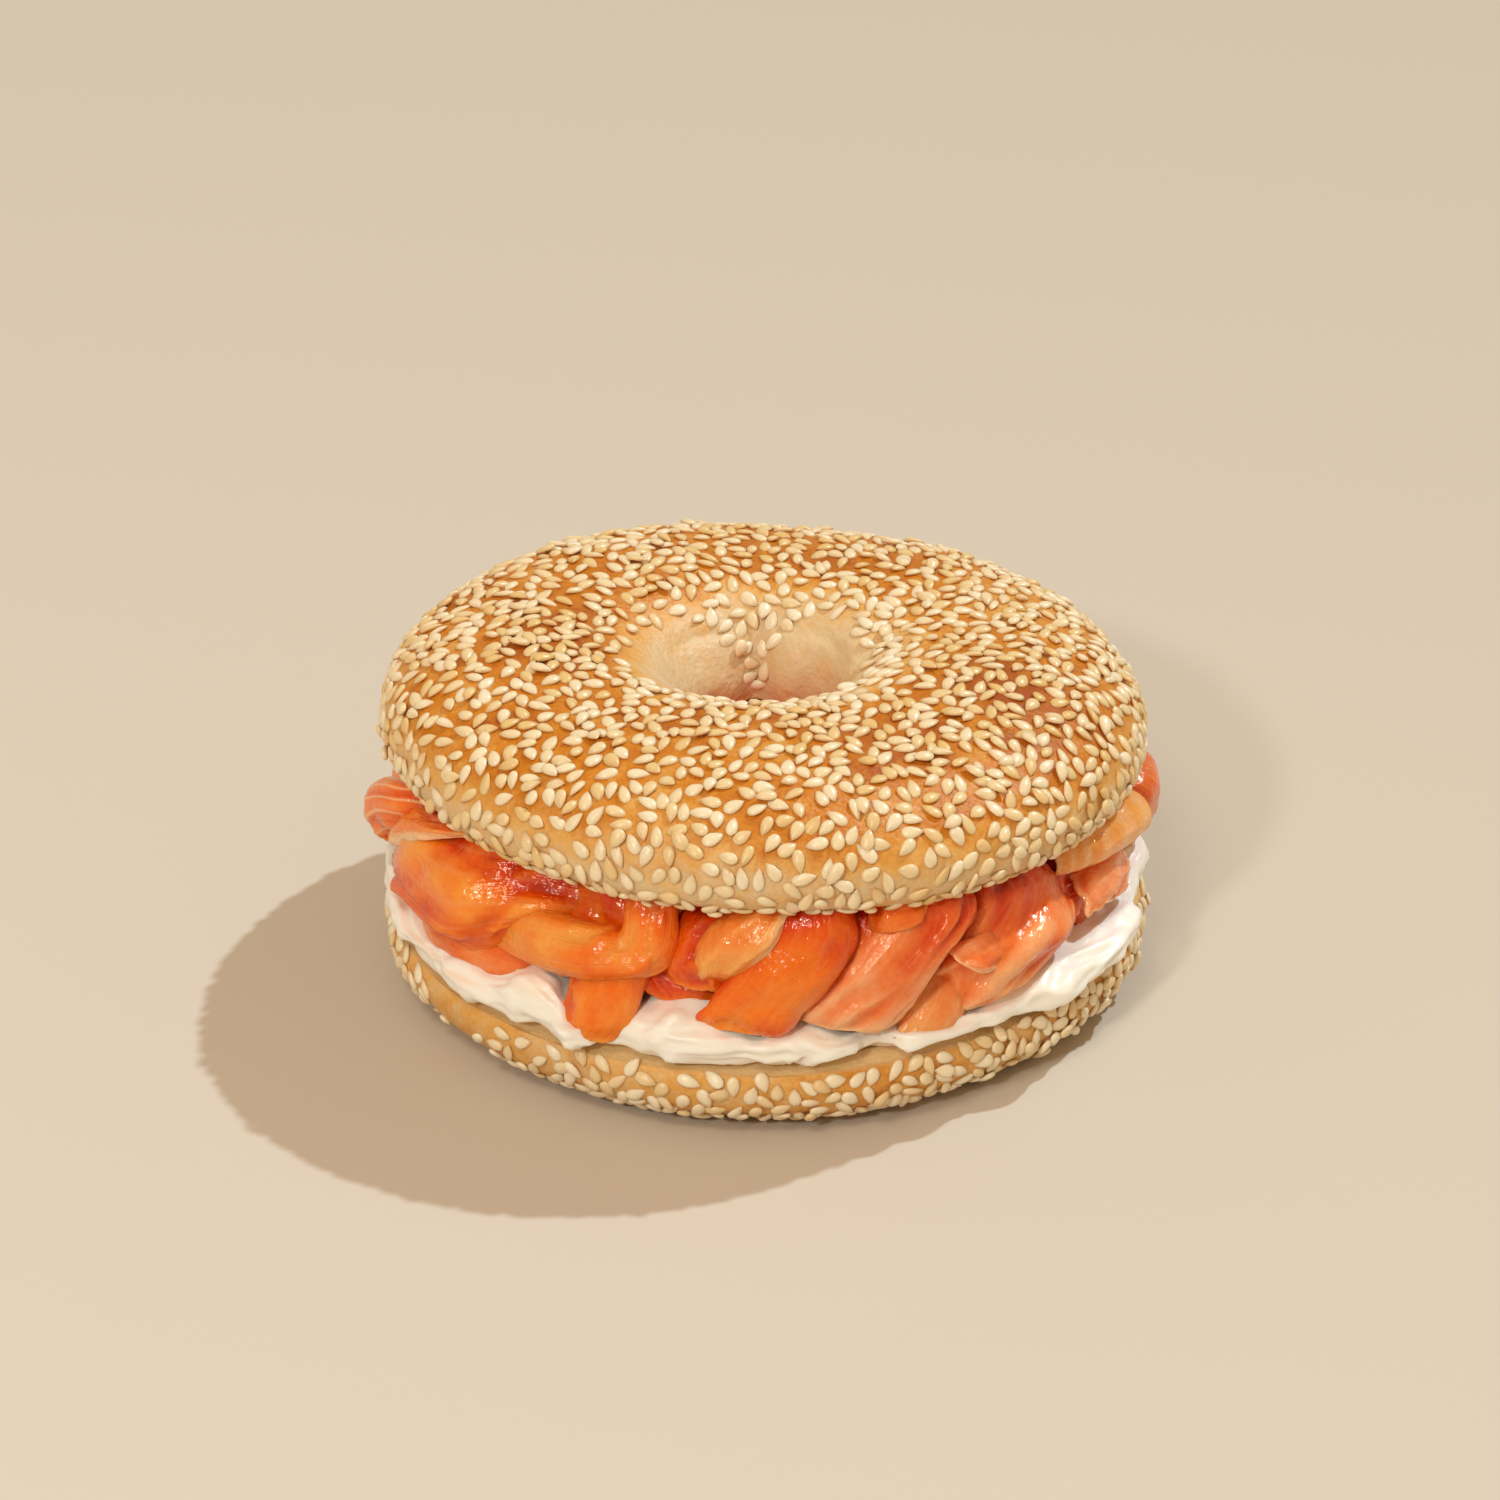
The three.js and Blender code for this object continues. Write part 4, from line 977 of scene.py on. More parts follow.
def flesh_relief(flat, seed, gather=0.5, spacing=5.5, slant=0.3, wrinkle=1.0, **_):
    """Gathers that run along a slice, with sharp ridges or sharp creases, and finer wrinkles."""
    long, wide = flat[..., 0], flat[..., 1]
    drift = noise(flat, 7, seed + 7)
    wave = np.abs(np.sin(np.pi * ((wide + slant * long) / spacing + 0.6 * drift))) ** 0.8
    folds = mix(0.45 - wave, wave - 0.75, ramp(noise(flat, 13, seed + 13), -0.05, 0.45))
    strength = np.clip(0.55 + 0.6 * noise(flat, 8, seed + 11), 0, 1)
    stretched = flat * [0.35, 1, 1]
    ridges = 0.6 - 1.6 * np.sqrt(noise(stretched, 1.9, seed + 5) ** 2 + 0.01)
    fine = noise(flat * [0.5, 1, 1], 0.8, seed + 9)
    soft = noise(flat, 6, seed + 3)
    return 1.35 * gather * folds * strength + wrinkle * (0.3 * soft + 0.36 * ridges + 0.1 * fine)


def salmon_shades(u, v, points, lift, border, tint, pink=0.1, fatty=0.05, pale_edge=0.0, **_):
    """A slice's tint, with painted shade deep between others and in its creases and painted light
    on its ridges; how pink it is; how fatty it is.
    """
    radius = from_axis(points)
    # Painted shade: the nearer a point lies to the axis, deep between and behind other slices, the lower its
    # tint.
    deep = ramp(radius, 46, 55) * 0.4 - 0.36
    # Painted light on the relief's raised ridges and painted shade in its sunken creases.
    ridge_light_crease_shade = np.clip(0.36 * lift, -0.3, 0.12)
    side = v if pale_edge >= 0 else 1 - v
    rim = abs(pale_edge) * ramp(side, 0.8, 0.94)
    thin = 0.22 * (1 - ramp(border, 0.1, 1.1))
    clouds = 0.07 * noise(points, 5, 97) + 0.04 * noise(points, 2.2, 99)
    shade = along(tint, u) - 0.09 + deep + ridge_light_crease_shade + rim + thin + clouds
    return {
        "tint": np.clip(shade, 0, 1),
        "pink": np.clip(pink + rim + 0 * u, 0, 1),
        "fatty": fatty + 0.6 * rim,
    }


def rim_faces(rows, columns, count):
    """Quads that join the borders of a sheet's two faces."""
    top = list(range(columns))
    right = [i * columns + columns - 1 for i in range(1, rows)]
    bottom = [(rows - 1) * columns + j for j in range(columns - 2, -1, -1)]
    left = [i * columns for i in range(rows - 2, 0, -1)]
    loop = np.array(top + right + bottom + left)
    after = np.roll(loop, -1)
    return np.stack([after, loop, loop + count, after + count], -1)


def jagged(along_edge, seed):
    """A ragged line, from about -1 to 1."""
    at = np.stack([along_edge, along_edge * 0, np.full(along_edge.shape, seed * 1.7)], -1)
    return layered(at, 1.0, seed, 4)


def cut_back(u, v, seed, rounded=(0, 0.16), ragged=(0, 0.03), free=(False, False), torn=0, **_):
    """Where each grid point lies on the slice, with its ends rounded and ragged and its free sides torn."""
    corner = np.abs(2 * v - 1) ** 2.6
    start = rounded[0] * corner + ragged[0] * (1 + jagged(v * 9, seed))
    end = rounded[1] * corner + ragged[1] * (1 + jagged(v * 9, seed))
    tear = torn * (1 + jagged(u * 14, seed + 1))
    first = TUCK_SHARE + tear if free[0] else 0.0
    last = 1 - TUCK_SHARE - tear if free[1] else 1.0
    return mix(start, 1 - end, u), mix(first, last, v)


def crease_depth(u, v, creases):
    """How far the flesh is folded in or stands out at creases that run along the slice."""
    depth = 0 * u
    for start, end, deep, wide in creases:
        away = np.abs(v - mix(start, end, ramp(u, 0, 1)))
        depth = depth - deep * np.exp(-away / wide) * np.sin(np.pi * u) ** 0.5
    return depth


def slice_object(name, recipe, material, thickness, counts=(60, 60)):
    """One slice, with the tongue that belongs to it if it has one."""
    points, faces, flat_map, values, offset = [], [], [], {}, 0
    parts = [recipe, *([recipe["also"]] if "also" in recipe else [])]
    for k, part in enumerate(parts):
        seed = sum(ord(letter) for letter in name) % 89 + 5 * k

        def surface(u, v, outset, part=part, seed=seed):
            return slice_surface(*cut_back(u, v, seed, **part), outset, **part)

        def relief(u, v, flat, part=part, seed=seed):
            at = cut_back(u, v, seed, **part)
            return crease_depth(*at, part.get("creases", ())) + flesh_relief(flat, seed, **part)

        def shades(u, v, points, lift, border, part=part):
            return salmon_shades(u, v, points, lift, border, **part)

        made = make_sheet(surface, relief, shades, counts, (0.1, thickness), seed)
        points.append(made[0])
        faces.extend([[corner + offset for corner in face] for face in made[1]])
        for key, value in made[2].items():
            values.setdefault(key, []).append(value)
        flat_map.append(made[3])
        offset += len(made[0])
    values = {key: np.concatenate(value) for key, value in values.items()}
    piece = new_object(name + "_slice", np.vstack(points), faces, material, values, np.vstack(flat_map))
    return finish_piece(piece, "salmon", recipe.get("part_of", name))


def curl_object(material):
    """The slice that is rolled up at the right, with its rings of fat."""
    seed = 31

    def surface(u, v, outset):
        return curl_surface(u, v, outset, **CURL)

    def relief(u, v, flat):
        return flesh_relief(flat, seed, gather=0.15, spacing=6.0, slant=0.1, wrinkle=0.6)

    def shades(u, v, points, lift, border):
        bands = 0.5 + 0.5 * np.sin(34 * u + 5 * v + 1.5 * noise(points, 6, 35))
        # Painted shade: darker towards the middle of the roll (v); painted light on its raised parts (lift).
        # The bands are its rings of fat.
        tint = 0.96 + 0.1 * u - 0.2 * v + 0.14 * bands**2 + 0.3 * lift + 0.2 * (1 - ramp(border, 0.2, 1.6))
        return {"tint": np.clip(tint, 0, 1), "pink": 0.2 + 0.4 * bands, "fatty": 0.5 * bands**2}

    points, faces, values, flat_map = make_sheet(
        surface, relief, shades, (60, 150), (-CURL["thickness"], 0.0), seed
    )
    piece = new_object("salmon_right_curl_slice", points, faces, material, values, flat_map)
    return finish_piece(piece, "salmon", "salmon_right_curl")


def heap_object(material, segments=420, wall_rows=60, roof_rows=26):
    """The folded slices in the middle: their folds show as an uneven wall behind the outer ones."""
    angle = circle(segments)
    floor = CREAM_FLOOR + 5.0
    folds = 0.9 * np.cos(9 * angle + 1) + 0.6 * np.cos(14 * angle) - 3 * near(angle, -29, 0.2)
    reach = HEAP_RADIUS + folds

    def roof(radius):
        points = ring_points(angle, radius, 0)
        under = CROWN_LIFT + CROWN_TILT[0] * points[:, 0] + CROWN_TILT[1] * points[:, 1] - 0.6
        return under - 0.5 * (1 + np.cos(5 * angle + radius / 6)) + 1.4 * bump(radius, 9)

    rings = [ring_points(angle, share * reach, floor) for share in (0.3, 0.7, 0.9)]
    floor_rows = len(rings)
    for level in np.linspace(0, 1, wall_rows):
        away = 2 * np.abs(level - 0.5)
        pleat = 0.5 * np.sin(level * 19 + 3 * np.sin(3 * angle)) + 0.35 * np.sin(level * 41 + 5 * angle)
        soft = 0.03 * np.sin(level * 9) - 0.06 * away**6
        radius = reach * (1 + soft) + pleat * (1 - away**8)
        rings.append(ring_points(angle, radius, mix(floor, roof(radius), level)))
    for share in np.linspace(0.9, 0.08, roof_rows):
        rings.append(ring_points(angle, share * reach, roof(share * reach)))
    points = np.stack(rings)
    lift = 0.35 * layered(points * [1, 1, 1.6], 4, 91)
    lift[: floor_rows + 1] = 0
    points = points + grid_normals(points, True) * lift[..., None]
    wall = points[floor_rows + 1 :, :, 2]
    np.minimum(wall, CROWN_LIFT + 6, out=wall)
    flat, faces = capped(points)
    # Painted shade: the heap shows only deep in the gaps, so its tint is kept low, a deep red.
    tint = np.clip(0.38 + 0.12 * noise(flat, 6, 95), 0, 1)
    values = {"tint": tint, "pink": 0 * tint, "fatty": 0.1 + 0 * tint}
    flat_map = np.stack([np.arctan2(flat[:, 0], -flat[:, 1]) * 45, flat[:, 2]], -1)
    piece = new_object("salmon_heap_folds", flat, faces, material, values, flat_map)
    return finish_piece(piece, "salmon", "salmon_heap")


# ---- materials ----


class Recipe:
    """A material's nodes, added and joined one line at a time."""

    def __init__(self, tree):
        self.tree = tree

    def add(self, kind, **settings):
        """A node. A setting whose name begins with a capital letter feeds that input."""
        node = self.tree.nodes.new(kind)
        for key, value in settings.items():
            if key[0].isupper():
                self.feed(node.inputs[key.replace("_", " ")], value)
            else:
                setattr(node, key, value)
        return node

    def feed(self, socket, source):
        """Joins an output to the input, or sets the input to a number, a vector or a screen colour."""
        if isinstance(source, bpy.types.NodeSocket):
            self.tree.links.new(source, socket)
        elif socket.type == "RGBA":
            socket.default_value = (*linear(source), 1.0)
        else:
            socket.default_value = source

    def value(self, name):
        return self.add("ShaderNodeAttribute", attribute_name=name).outputs["Fac"]

    def math(self, operation, first, second, clamp=False):
        node = self.add("ShaderNodeMath", operation=operation, use_clamp=clamp)
        self.feed(node.inputs[0], first)
        self.feed(node.inputs[1], second)
        return node.outputs[0]

    def blend(self, share, first, second):
        node = self.add("ShaderNodeMix", data_type="RGBA")
        for place, source in ((0, share), (6, first), (7, second)):
            self.feed(node.inputs[place], source)
        return node.outputs[2]

    def ramp(self, share, *stops):
        """A colour for each share, from (share, screen colour) stops."""
        node = self.add("ShaderNodeValToRGB")
        elements = node.color_ramp.elements
        while len(elements) < len(stops):
            elements.new(0.5)
        for element, (at, colour) in zip(elements, stops):
            element.position = at
            element.color = (*linear(colour), 1.0)
        self.feed(node.inputs[0], share)
        return node.outputs[0]


def linear(colour):
    """A screen colour as the light it stands for."""
    return tuple(c / 12.92 if c <= 0.04045 else ((c + 0.055) / 1.055) ** 2.4 for c in colour)


def new_group(name, numbers, output):
    """A group with a vector and these numbers as inputs: itself, its recipe, its inputs and its output."""
    group = bpy.data.node_groups.new(name, "ShaderNodeTree")
    group.interface.new_socket(name="Vector", in_out="INPUT", socket_type="NodeSocketVector")
    for label, start in numbers.items():
        socket = group.interface.new_socket(name=label, in_out="INPUT", socket_type="NodeSocketFloat")
        socket.default_value = start
    group.interface.new_socket(name=output, in_out="OUTPUT", socket_type="NodeSocketFloat")
    recipe = Recipe(group)
    taken = recipe.add("NodeGroupInput").outputs
    given = recipe.add("NodeGroupOutput").inputs[output]
    return group, recipe, taken, given


def mottling_group():
    """Cloudy patches with a finer layer in them, from 0 to 1."""
    found = bpy.data.node_groups.get("Mottling")
    if found is not None:
        return found
    numbers = {"Patch scale": 120.0, "Fine scale": 700.0, "Fine share": 0.35}
    group, recipe, taken, given = new_group("Mottling", numbers, "Mottle")
    place, share = taken["Vector"], taken["Fine share"]
    patches, fine = (
        recipe.add("ShaderNodeTexNoise", Vector=place, Scale=taken[scale], Detail=3.0).outputs["Fac"]
        for scale in ("Patch scale", "Fine scale")
    )
    coarse_part = recipe.math("MULTIPLY", patches, recipe.math("SUBTRACT", 1.0, share))
    fine_part = recipe.math("MULTIPLY", fine, share)
    recipe.feed(given, recipe.math("ADD", coarse_part, fine_part))
    return group


def grain_group():
    """Heights for a fine surface: soft pits and a finer roughness between them."""
    found = bpy.data.node_groups.get("Surface grain")
    if found is not None:
        return found
    numbers = {"Pit scale": 900.0, "Grain scale": 2600.0}
    group, recipe, taken, given = new_group("Surface grain", numbers, "Height")
    place = taken["Vector"]
    pits = recipe.add("ShaderNodeTexVoronoi", feature="SMOOTH_F1", Vector=place, Scale=taken["Pit scale"])
    grain = recipe.add("ShaderNodeTexNoise", Vector=place, Scale=taken["Grain scale"])
    fine = recipe.math("MULTIPLY", grain.outputs["Fac"], 0.6)
    recipe.feed(given, recipe.math("ADD", pits.outputs["Distance"], fine))
    return group


def new_material(name):
    """An empty material with a shader that feeds its surface: itself, its recipe and the shader."""
    material = bpy.data.materials.new(name)
    material.use_nodes = True
    material.node_tree.nodes.clear()
    recipe = Recipe(material.node_tree)
    shader = recipe.add("ShaderNodeBsdfPrincipled")
    recipe.add("ShaderNodeOutputMaterial", Surface=shader.outputs["BSDF"])
    return material, recipe, shader


def food_material(name, look, patches, rough, under, grain, bumps, specular=0.5, shine=(1.0, 1.0, 1.0)):
    """A food's material, made the first time: `look` gives its colour and what its bump adds to the grain.

    `patches` are the mottling's coarse scale, fine scale and fine share; `rough` is the roughness, or the
    lowest and highest; `under` is the weight, radius and scale of the light under the skin; `grain` is the
    scales of the pits and of what lies between them; `bumps` are their depth and strength.
    """
    found = bpy.data.materials.get(name)
    if found is not None:
        return found
    material, recipe, shader = new_material(name)
    place = recipe.add("ShaderNodeTexCoord").outputs["Object"]
    scales = dict(zip(("Patch_scale", "Fine_scale", "Fine_share"), patches))
    clouds = recipe.add("ShaderNodeGroup", node_tree=mottling_group(), Vector=place, **scales)
    mottle = clouds.outputs["Mottle"]
    colour, ridges = look(recipe, mottle)
    recipe.feed(shader.inputs["Base Color"], colour)
    if isinstance(rough, tuple):
        gloss = recipe.add("ShaderNodeMapRange", Value=mottle, To_Min=rough[0], To_Max=rough[1])
        rough = gloss.outputs["Result"]
    recipe.feed(shader.inputs["Roughness"], rough)
    for key, value in zip(("Weight", "Radius", "Scale"), under):
        shader.inputs["Subsurface " + key].default_value = value
    shader.inputs["Specular IOR Level"].default_value = specular
    shader.inputs["Specular Tint"].default_value = (*shine, 1.0)
    scales = dict(zip(("Pit_scale", "Grain_scale"), grain))
    height = recipe.add("ShaderNodeGroup", node_tree=grain_group(), Vector=place, **scales).outputs["Height"]
    if ridges is not None:
        height = recipe.math("ADD", height, ridges)
    relief = recipe.add("ShaderNodeBump", Height=height, Distance=bumps[0], Strength=bumps[1])
    recipe.feed(shader.inputs["Normal"], relief.outputs["Normal"])
    return material


def crust_look(recipe, mottle):
    colours = bpy.context.scene.bagel_bread
    spread = recipe.math("MULTIPLY", recipe.math("SUBTRACT", mottle, 0.5), 0.9)
    baked = recipe.math("ADD", recipe.value("bake"), spread, clamp=True)
    crust = recipe.ramp(
        baked,
        (0.0, colours.crust_pale),
        (0.3, colours.crust_straw),
        (0.6, colours.crust_golden),
        (0.95, colours.crust_brown),
    )
    crumb = recipe.blend(mottle, colours.crumb_toasted, colours.crumb_pale)
    return recipe.blend(recipe.value("crumb"), crust, crumb), None


def crust_material():
    return food_material(
        "Baked crust",
        crust_look,
        patches=(260.0, 1500.0, 0.4),
        rough=(0.3, 0.5),
        under=(0.12, (1.0, 0.5, 0.25), 0.002),
        grain=(1400.0, 3800.0),
        bumps=(0.00016, 0.8),
        specular=0.3,
    )


def seed_look(recipe, mottle):
    colours = bpy.context.scene.bagel_seeds
    tone = recipe.blend(recipe.value("tone"), colours.pale, colours.cream)
    tip = recipe.math("POWER", recipe.value("tip"), 5.0)
    toast = recipe.math("MULTIPLY", recipe.math("ADD", tip, 0.15), mottle, clamp=True)
    return recipe.blend(toast, tone, colours.toasted), None


def seed_material():
    return food_material(
        "Sesame",
        seed_look,
        patches=(500.0, 2400.0, 0.5),
        rough=0.3,
        under=(0.2, (1.0, 0.7, 0.4), 0.0012),
        grain=(1800.0, 5000.0),
        bumps=(0.00008, 0.5),
    )


def cream_look(recipe, mottle):
    colours = bpy.context.scene.bagel_cream
    colour = recipe.blend(mottle, colours.warm, colours.white)
    return recipe.blend(recipe.value("stain"), colour, colours.stained), None


def cream_material():
    return food_material(
        "Cream cheese",
        cream_look,
        patches=(90.0, 600.0, 0.3),
        rough=(0.25, 0.45),
        under=(0.35, (1.0, 0.9, 0.75), 0.0015),
        grain=(450.0, 1600.0),
        bumps=(0.0002, 0.5),
    )


def salmon_look(recipe, mottle):
    colours = bpy.context.scene.bagel_salmon
    lay = recipe.add("ShaderNodeTexCoord").outputs["UV"]
    squeezed = recipe.add("ShaderNodeMapping", Vector=lay, Scale=(0.25, 2.2, 1.0)).outputs["Vector"]
    fibres = recipe.add("ShaderNodeTexNoise", Vector=squeezed, Scale=1.0, Detail=3.0).outputs["Fac"]
    spread = recipe.math("MULTIPLY", recipe.math("SUBTRACT", mottle, 0.5), 0.6)
    streaks = recipe.math("MULTIPLY", recipe.math("SUBTRACT", fibres, 0.5), 0.14)
    shade = recipe.math("ADD", recipe.value("tint"), recipe.math("ADD", spread, streaks), clamp=True)
    flesh, rosy = (
        recipe.ramp(shade, (0.0, colours.deep), (0.3, colours.red), (0.6, middle), (1.0, light))
        for middle, light in ((colours.orange, colours.pale), (colours.rose, colours.fat))
    )
    colour = recipe.blend(recipe.value("pink"), flesh, rosy)
    bands = recipe.add("ShaderNodeTexWave", wave_type="BANDS", bands_direction="Y", Vector=lay, Scale=0.13)
    for key, value in (("Distortion", 4.0), ("Detail", 2.0), ("Detail Scale", 0.5)):
        bands.inputs[key].default_value = value
    lines = recipe.math("POWER", bands.outputs["Fac"], 12.0)
    fat = recipe.math("MULTIPLY", lines, recipe.value("fatty"), clamp=True)
    return recipe.blend(fat, colour, colours.fat), recipe.math("MULTIPLY", fibres, 1.3)


def salmon_material():
    return food_material(
        "Smoked salmon",
        salmon_look,
        patches=(170.0, 1100.0, 0.3),
        rough=(0.05, 0.2),
        under=(0.35, (1.0, 0.4, 0.15), 0.0025),
        grain=(1000.0, 1700.0),
        bumps=(0.00016, 0.9),
        specular=0.7,
        shine=(1.0, 0.8, 0.62),
    )


# ---- stage ----

FLOOR_REACH = 3.0  # half the floor's width, in metres, as are the places below
CAMERA_PLACE = Vector((0, -0.6152, 0.3590))
CAMERA_AIM = Vector((-0.00237, 0, 0.0321))
LIGHT_AIM = Vector((0, 0, 0.02))
KEY_PLACE = Vector((0.487, 0.345, 0.80)) * 1.9
FILL_PLACE = Vector((-0.4, -1.1, 1.6))
GLINT_PLACE = Vector((-0.5, -1.1, 0.85))
KEY_SPREAD = 1.4  # degrees; it sets how soft the shadow's border is


def stand(thing, place, aim):
    """An object for a light or the camera, at its place and turned towards its aim."""
    piece = bpy.data.objects.new(thing.name, thing)
    piece.location = place
    piece.rotation_euler = (aim - place).to_track_quat("-Z", "Y").to_euler()
    bpy.context.scene.collection.objects.link(piece)
    return piece


def soft_light(name, size, power, tint, place):
    light = bpy.data.lights.new(name, "AREA")
    light.shape = "DISK"
    light.size = size
    light.energy = power
    light.color = tint
    stand(light, place, LIGHT_AIM)


def make_floor(colour):
    """The pale board that the bagel lies on."""
    mesh = bpy.data.meshes.new("floor")
    corners = [(x * FLOOR_REACH, y * FLOOR_REACH, 0) for x, y in ((-1, -1), (1, -1), (1, 1), (-1, 1))]
    mesh.from_pydata(corners, [], [(0, 1, 2, 3)])
    material, recipe, shader = new_material("Pale board")
    recipe.feed(shader.inputs["Base Color"], colour)
    shader.inputs["Roughness"].default_value = 0.8
    shader.inputs["Specular IOR Level"].default_value = 0.2
    mesh.materials.append(material)
    floor = bpy.data.objects.new("floor", mesh)
    floor.location.z = -0.0002  # just clear of the bagel's foot
    bpy.context.scene.collection.objects.link(floor)


def make_stage():
    """The floor, three lights, the light from all round and the camera."""
    scene = bpy.context.scene
    stage = scene.bagel_stage
    make_floor(stage.floor_colour)
    key = bpy.data.lights.new("key", "SUN")
    key.angle = rad(KEY_SPREAD)
    key.energy = stage.key_strength
    key.color = stage.key_colour
    stand(key, KEY_PLACE, LIGHT_AIM)
    soft_light("fill", 0.5, stage.fill_power, stage.fill_colour, FILL_PLACE)
    soft_light("glint", 0.12, stage.glint_power, stage.glint_colour, GLINT_PLACE)

    world = bpy.data.worlds.new("studio")
    world.use_nodes = True
    background = world.node_tree.nodes["Background"]
    background.inputs["Color"].default_value = (*stage.room_colour, 1.0)
    background.inputs["Strength"].default_value = stage.room_strength
    scene.world = world
    scene.view_settings.view_transform = "Standard"

    camera = bpy.data.cameras.new("camera")
    camera.lens = stage.lens
    camera.sensor_width = 36
    scene.camera = stand(camera, CAMERA_PLACE, CAMERA_AIM)


# ---- what a user can change ----


def length(name, description, default):
    """A length in metres."""
    return FloatProperty(
        name=name, description=description, default=default, min=0.0, unit="LENGTH", precision=4
    )


def amount(name, description, default, **unit):
    """A number from 0 up."""
    return FloatProperty(name=name, description=description, default=default, min=0.0, **unit)


def colour(name, description, default):
    """A colour as it looks on a screen."""
    return FloatVectorProperty(
        name=name, description=description, default=default, min=0.0, max=1.0, size=3, subtype="COLOR_GAMMA"
    )


class BagelBread(bpy.types.PropertyGroup):
    crown_radius: length("Crown radius", "Radius of the upper half at its widest", 0.056)
    crown_height: length("Crown height", "Height of the upper half over its cut face", 0.0165)
    base_radius: length("Base radius", "Radius of the lower half at its widest", 0.0562)
    base_height: length("Base height", "Height of the lower half", 0.0114)
    crust_pale: colour("Pale crust", "Crust in the hole, where it is baked least", (0.865, 0.755, 0.58))
    crust_straw: colour("Straw crust", "Crust low on the sides", (0.88, 0.66, 0.34))
    crust_golden: colour("Golden crust", "Most of the crust", (0.80, 0.49, 0.10))
    crust_brown: colour("Brown crust", "Crust where it is baked most", (0.64, 0.295, 0.02))
    crumb_pale: colour("Crumb", "The cut face's soft inside", (0.93, 0.84, 0.66))
    crumb_toasted: colour("Toasted crumb", "The cut face where the pan browned it", (0.80, 0.60, 0.32))


class BagelSeeds(bpy.types.PropertyGroup):
    length: length("Length", "Length of a sesame seed", 0.0032)
    width: length("Width", "Width of a sesame seed", 0.00195)
    thickness: length("Thickness", "Thickness of a sesame seed", 0.0009)
    crown_count: IntProperty(name="On the crown", description="Seeds on the upper half", default=1650, min=0)
    base_count: IntProperty(name="On the base", description="Seeds on the lower half", default=560, min=0)
    pale: colour("Pale seed", "The palest seeds", (0.97, 0.92, 0.80))
    cream: colour("Cream seed", "The warmest seeds", (0.90, 0.765, 0.50))
    toasted: colour("Toasted tip", "Tips and patches that the oven browned", (0.74, 0.50, 0.22))


class BagelCream(bpy.types.PropertyGroup):
    height: length("Height", "Thickness of the spread", 0.0046)
    white: colour("White", "The spread's palest colour", (0.99, 0.98, 0.95))
    warm: colour("Warm", "The spread's warmer colour", (0.98, 0.955, 0.89))
    stained: colour("Stained", "The spread where the salmon's juice has coloured it", (0.98, 0.82, 0.70))


class BagelSalmon(bpy.types.PropertyGroup):
    thickness: length("Thickness", "Thickness of a slice", 0.0018)
    # The deep colour stands for the flesh in shade: the painted shade in the tint runs down to it.
    deep: colour("Deep", "Flesh in the deepest folds", (0.64, 0.05, 0.0))
    red: colour("Red", "Flesh where it lies in thick folds", (0.86, 0.24, 0.0))
    orange: colour("Orange", "Most of the flesh", (0.96, 0.46, 0.02))
    pale: colour("Pale", "Flesh near the edges", (0.99, 0.66, 0.22))
    rose: colour("Rose", "Flesh of the pinker slices", (0.95, 0.50, 0.25))
    fat: colour("Fat", "The thin lines of fat and the palest edges", (0.99, 0.77, 0.58))


class BagelStage(bpy.types.PropertyGroup):
    floor_colour: colour("Floor", "Colour of the board", (0.812, 0.770, 0.705))
    key_colour: colour("Key colour", "Colour of the main light", (0.76, 0.90, 1.0))
    key_strength: amount("Key", "Strength of the main light", 1.9)
    fill_colour: colour("Fill colour", "Colour of the soft light from the front", (1.0, 0.89, 0.75))
    fill_power: amount("Fill", "Power of the soft light", 8.0, unit="POWER")
    glint_colour: colour("Glint colour", "Colour of the small light that glints", (0.89, 0.91, 0.91))
    glint_power: amount("Glints", "Power of the small light that glints", 6.0, unit="POWER")
    room_colour: colour("Room", "Colour of the light from all round", (1.0, 0.755, 0.51))
    room_strength: amount("Room light", "Strength of the light from all round", 0.52)
    lens: FloatProperty(name="Lens", description="Focal length of the camera, in mm", default=113.5, min=10.0)


# ---- operators, one for each piece or group of like pieces ----


class BAGEL_OT_base(bpy.types.Operator):
    """Make the lower half's bread."""

    bl_idname = "bagel.base"
    bl_label = "Lower half"

    def execute(self, context):
        finish_piece(make_base(crust_material()), "bread", "bagel_base")
        return {"FINISHED"}


class BAGEL_OT_crown(bpy.types.Operator):
    """Make the upper half's bread."""

    bl_idname = "bagel.crown"
    bl_label = "Upper half"

    def execute(self, context):
        finish_piece(make_crown(crust_material()), "bread", "bagel_crown")
        return {"FINISHED"}


class BAGEL_OT_seeds(bpy.types.Operator):
    """Scatter the sesame seeds over both halves."""

    bl_idname = "bagel.seeds"
    bl_label = "Sesame seeds"

    def execute(self, context):
        seeds = context.scene.bagel_seeds
        size = mm(seeds.length), mm(seeds.width), mm(seeds.thickness)
        random = np.random.default_rng(7)
        crown = SeedSpread(crown_skin, random, 0.015, 0.97, size[:2])
        crown.fill(30000, seeds.crown_count, crown_keep, close=0.84)
        crown.fill(900, seeds.crown_count // 14, crown_keep, close=0.5, lift=0.5)
        crown_seeds = make_seeds("crown_seeds", crown, seed_material(), size, crown_bake)
        finish_piece(crown_seeds, "bread", "bagel_crown")
        base = SeedSpread(base_skin, random, 0.22, 0.84, size[:2])
        base.fill(9000, seeds.base_count, base_keep, close=0.8)
        base.fill(2500, seeds.base_count // 4, base_pile, close=0.55, lift=0.6)
        base_seeds = make_seeds("base_seeds", base, seed_material(), size, base_bake)
        finish_piece(base_seeds, "bread", "bagel_base")
        return {"FINISHED"}


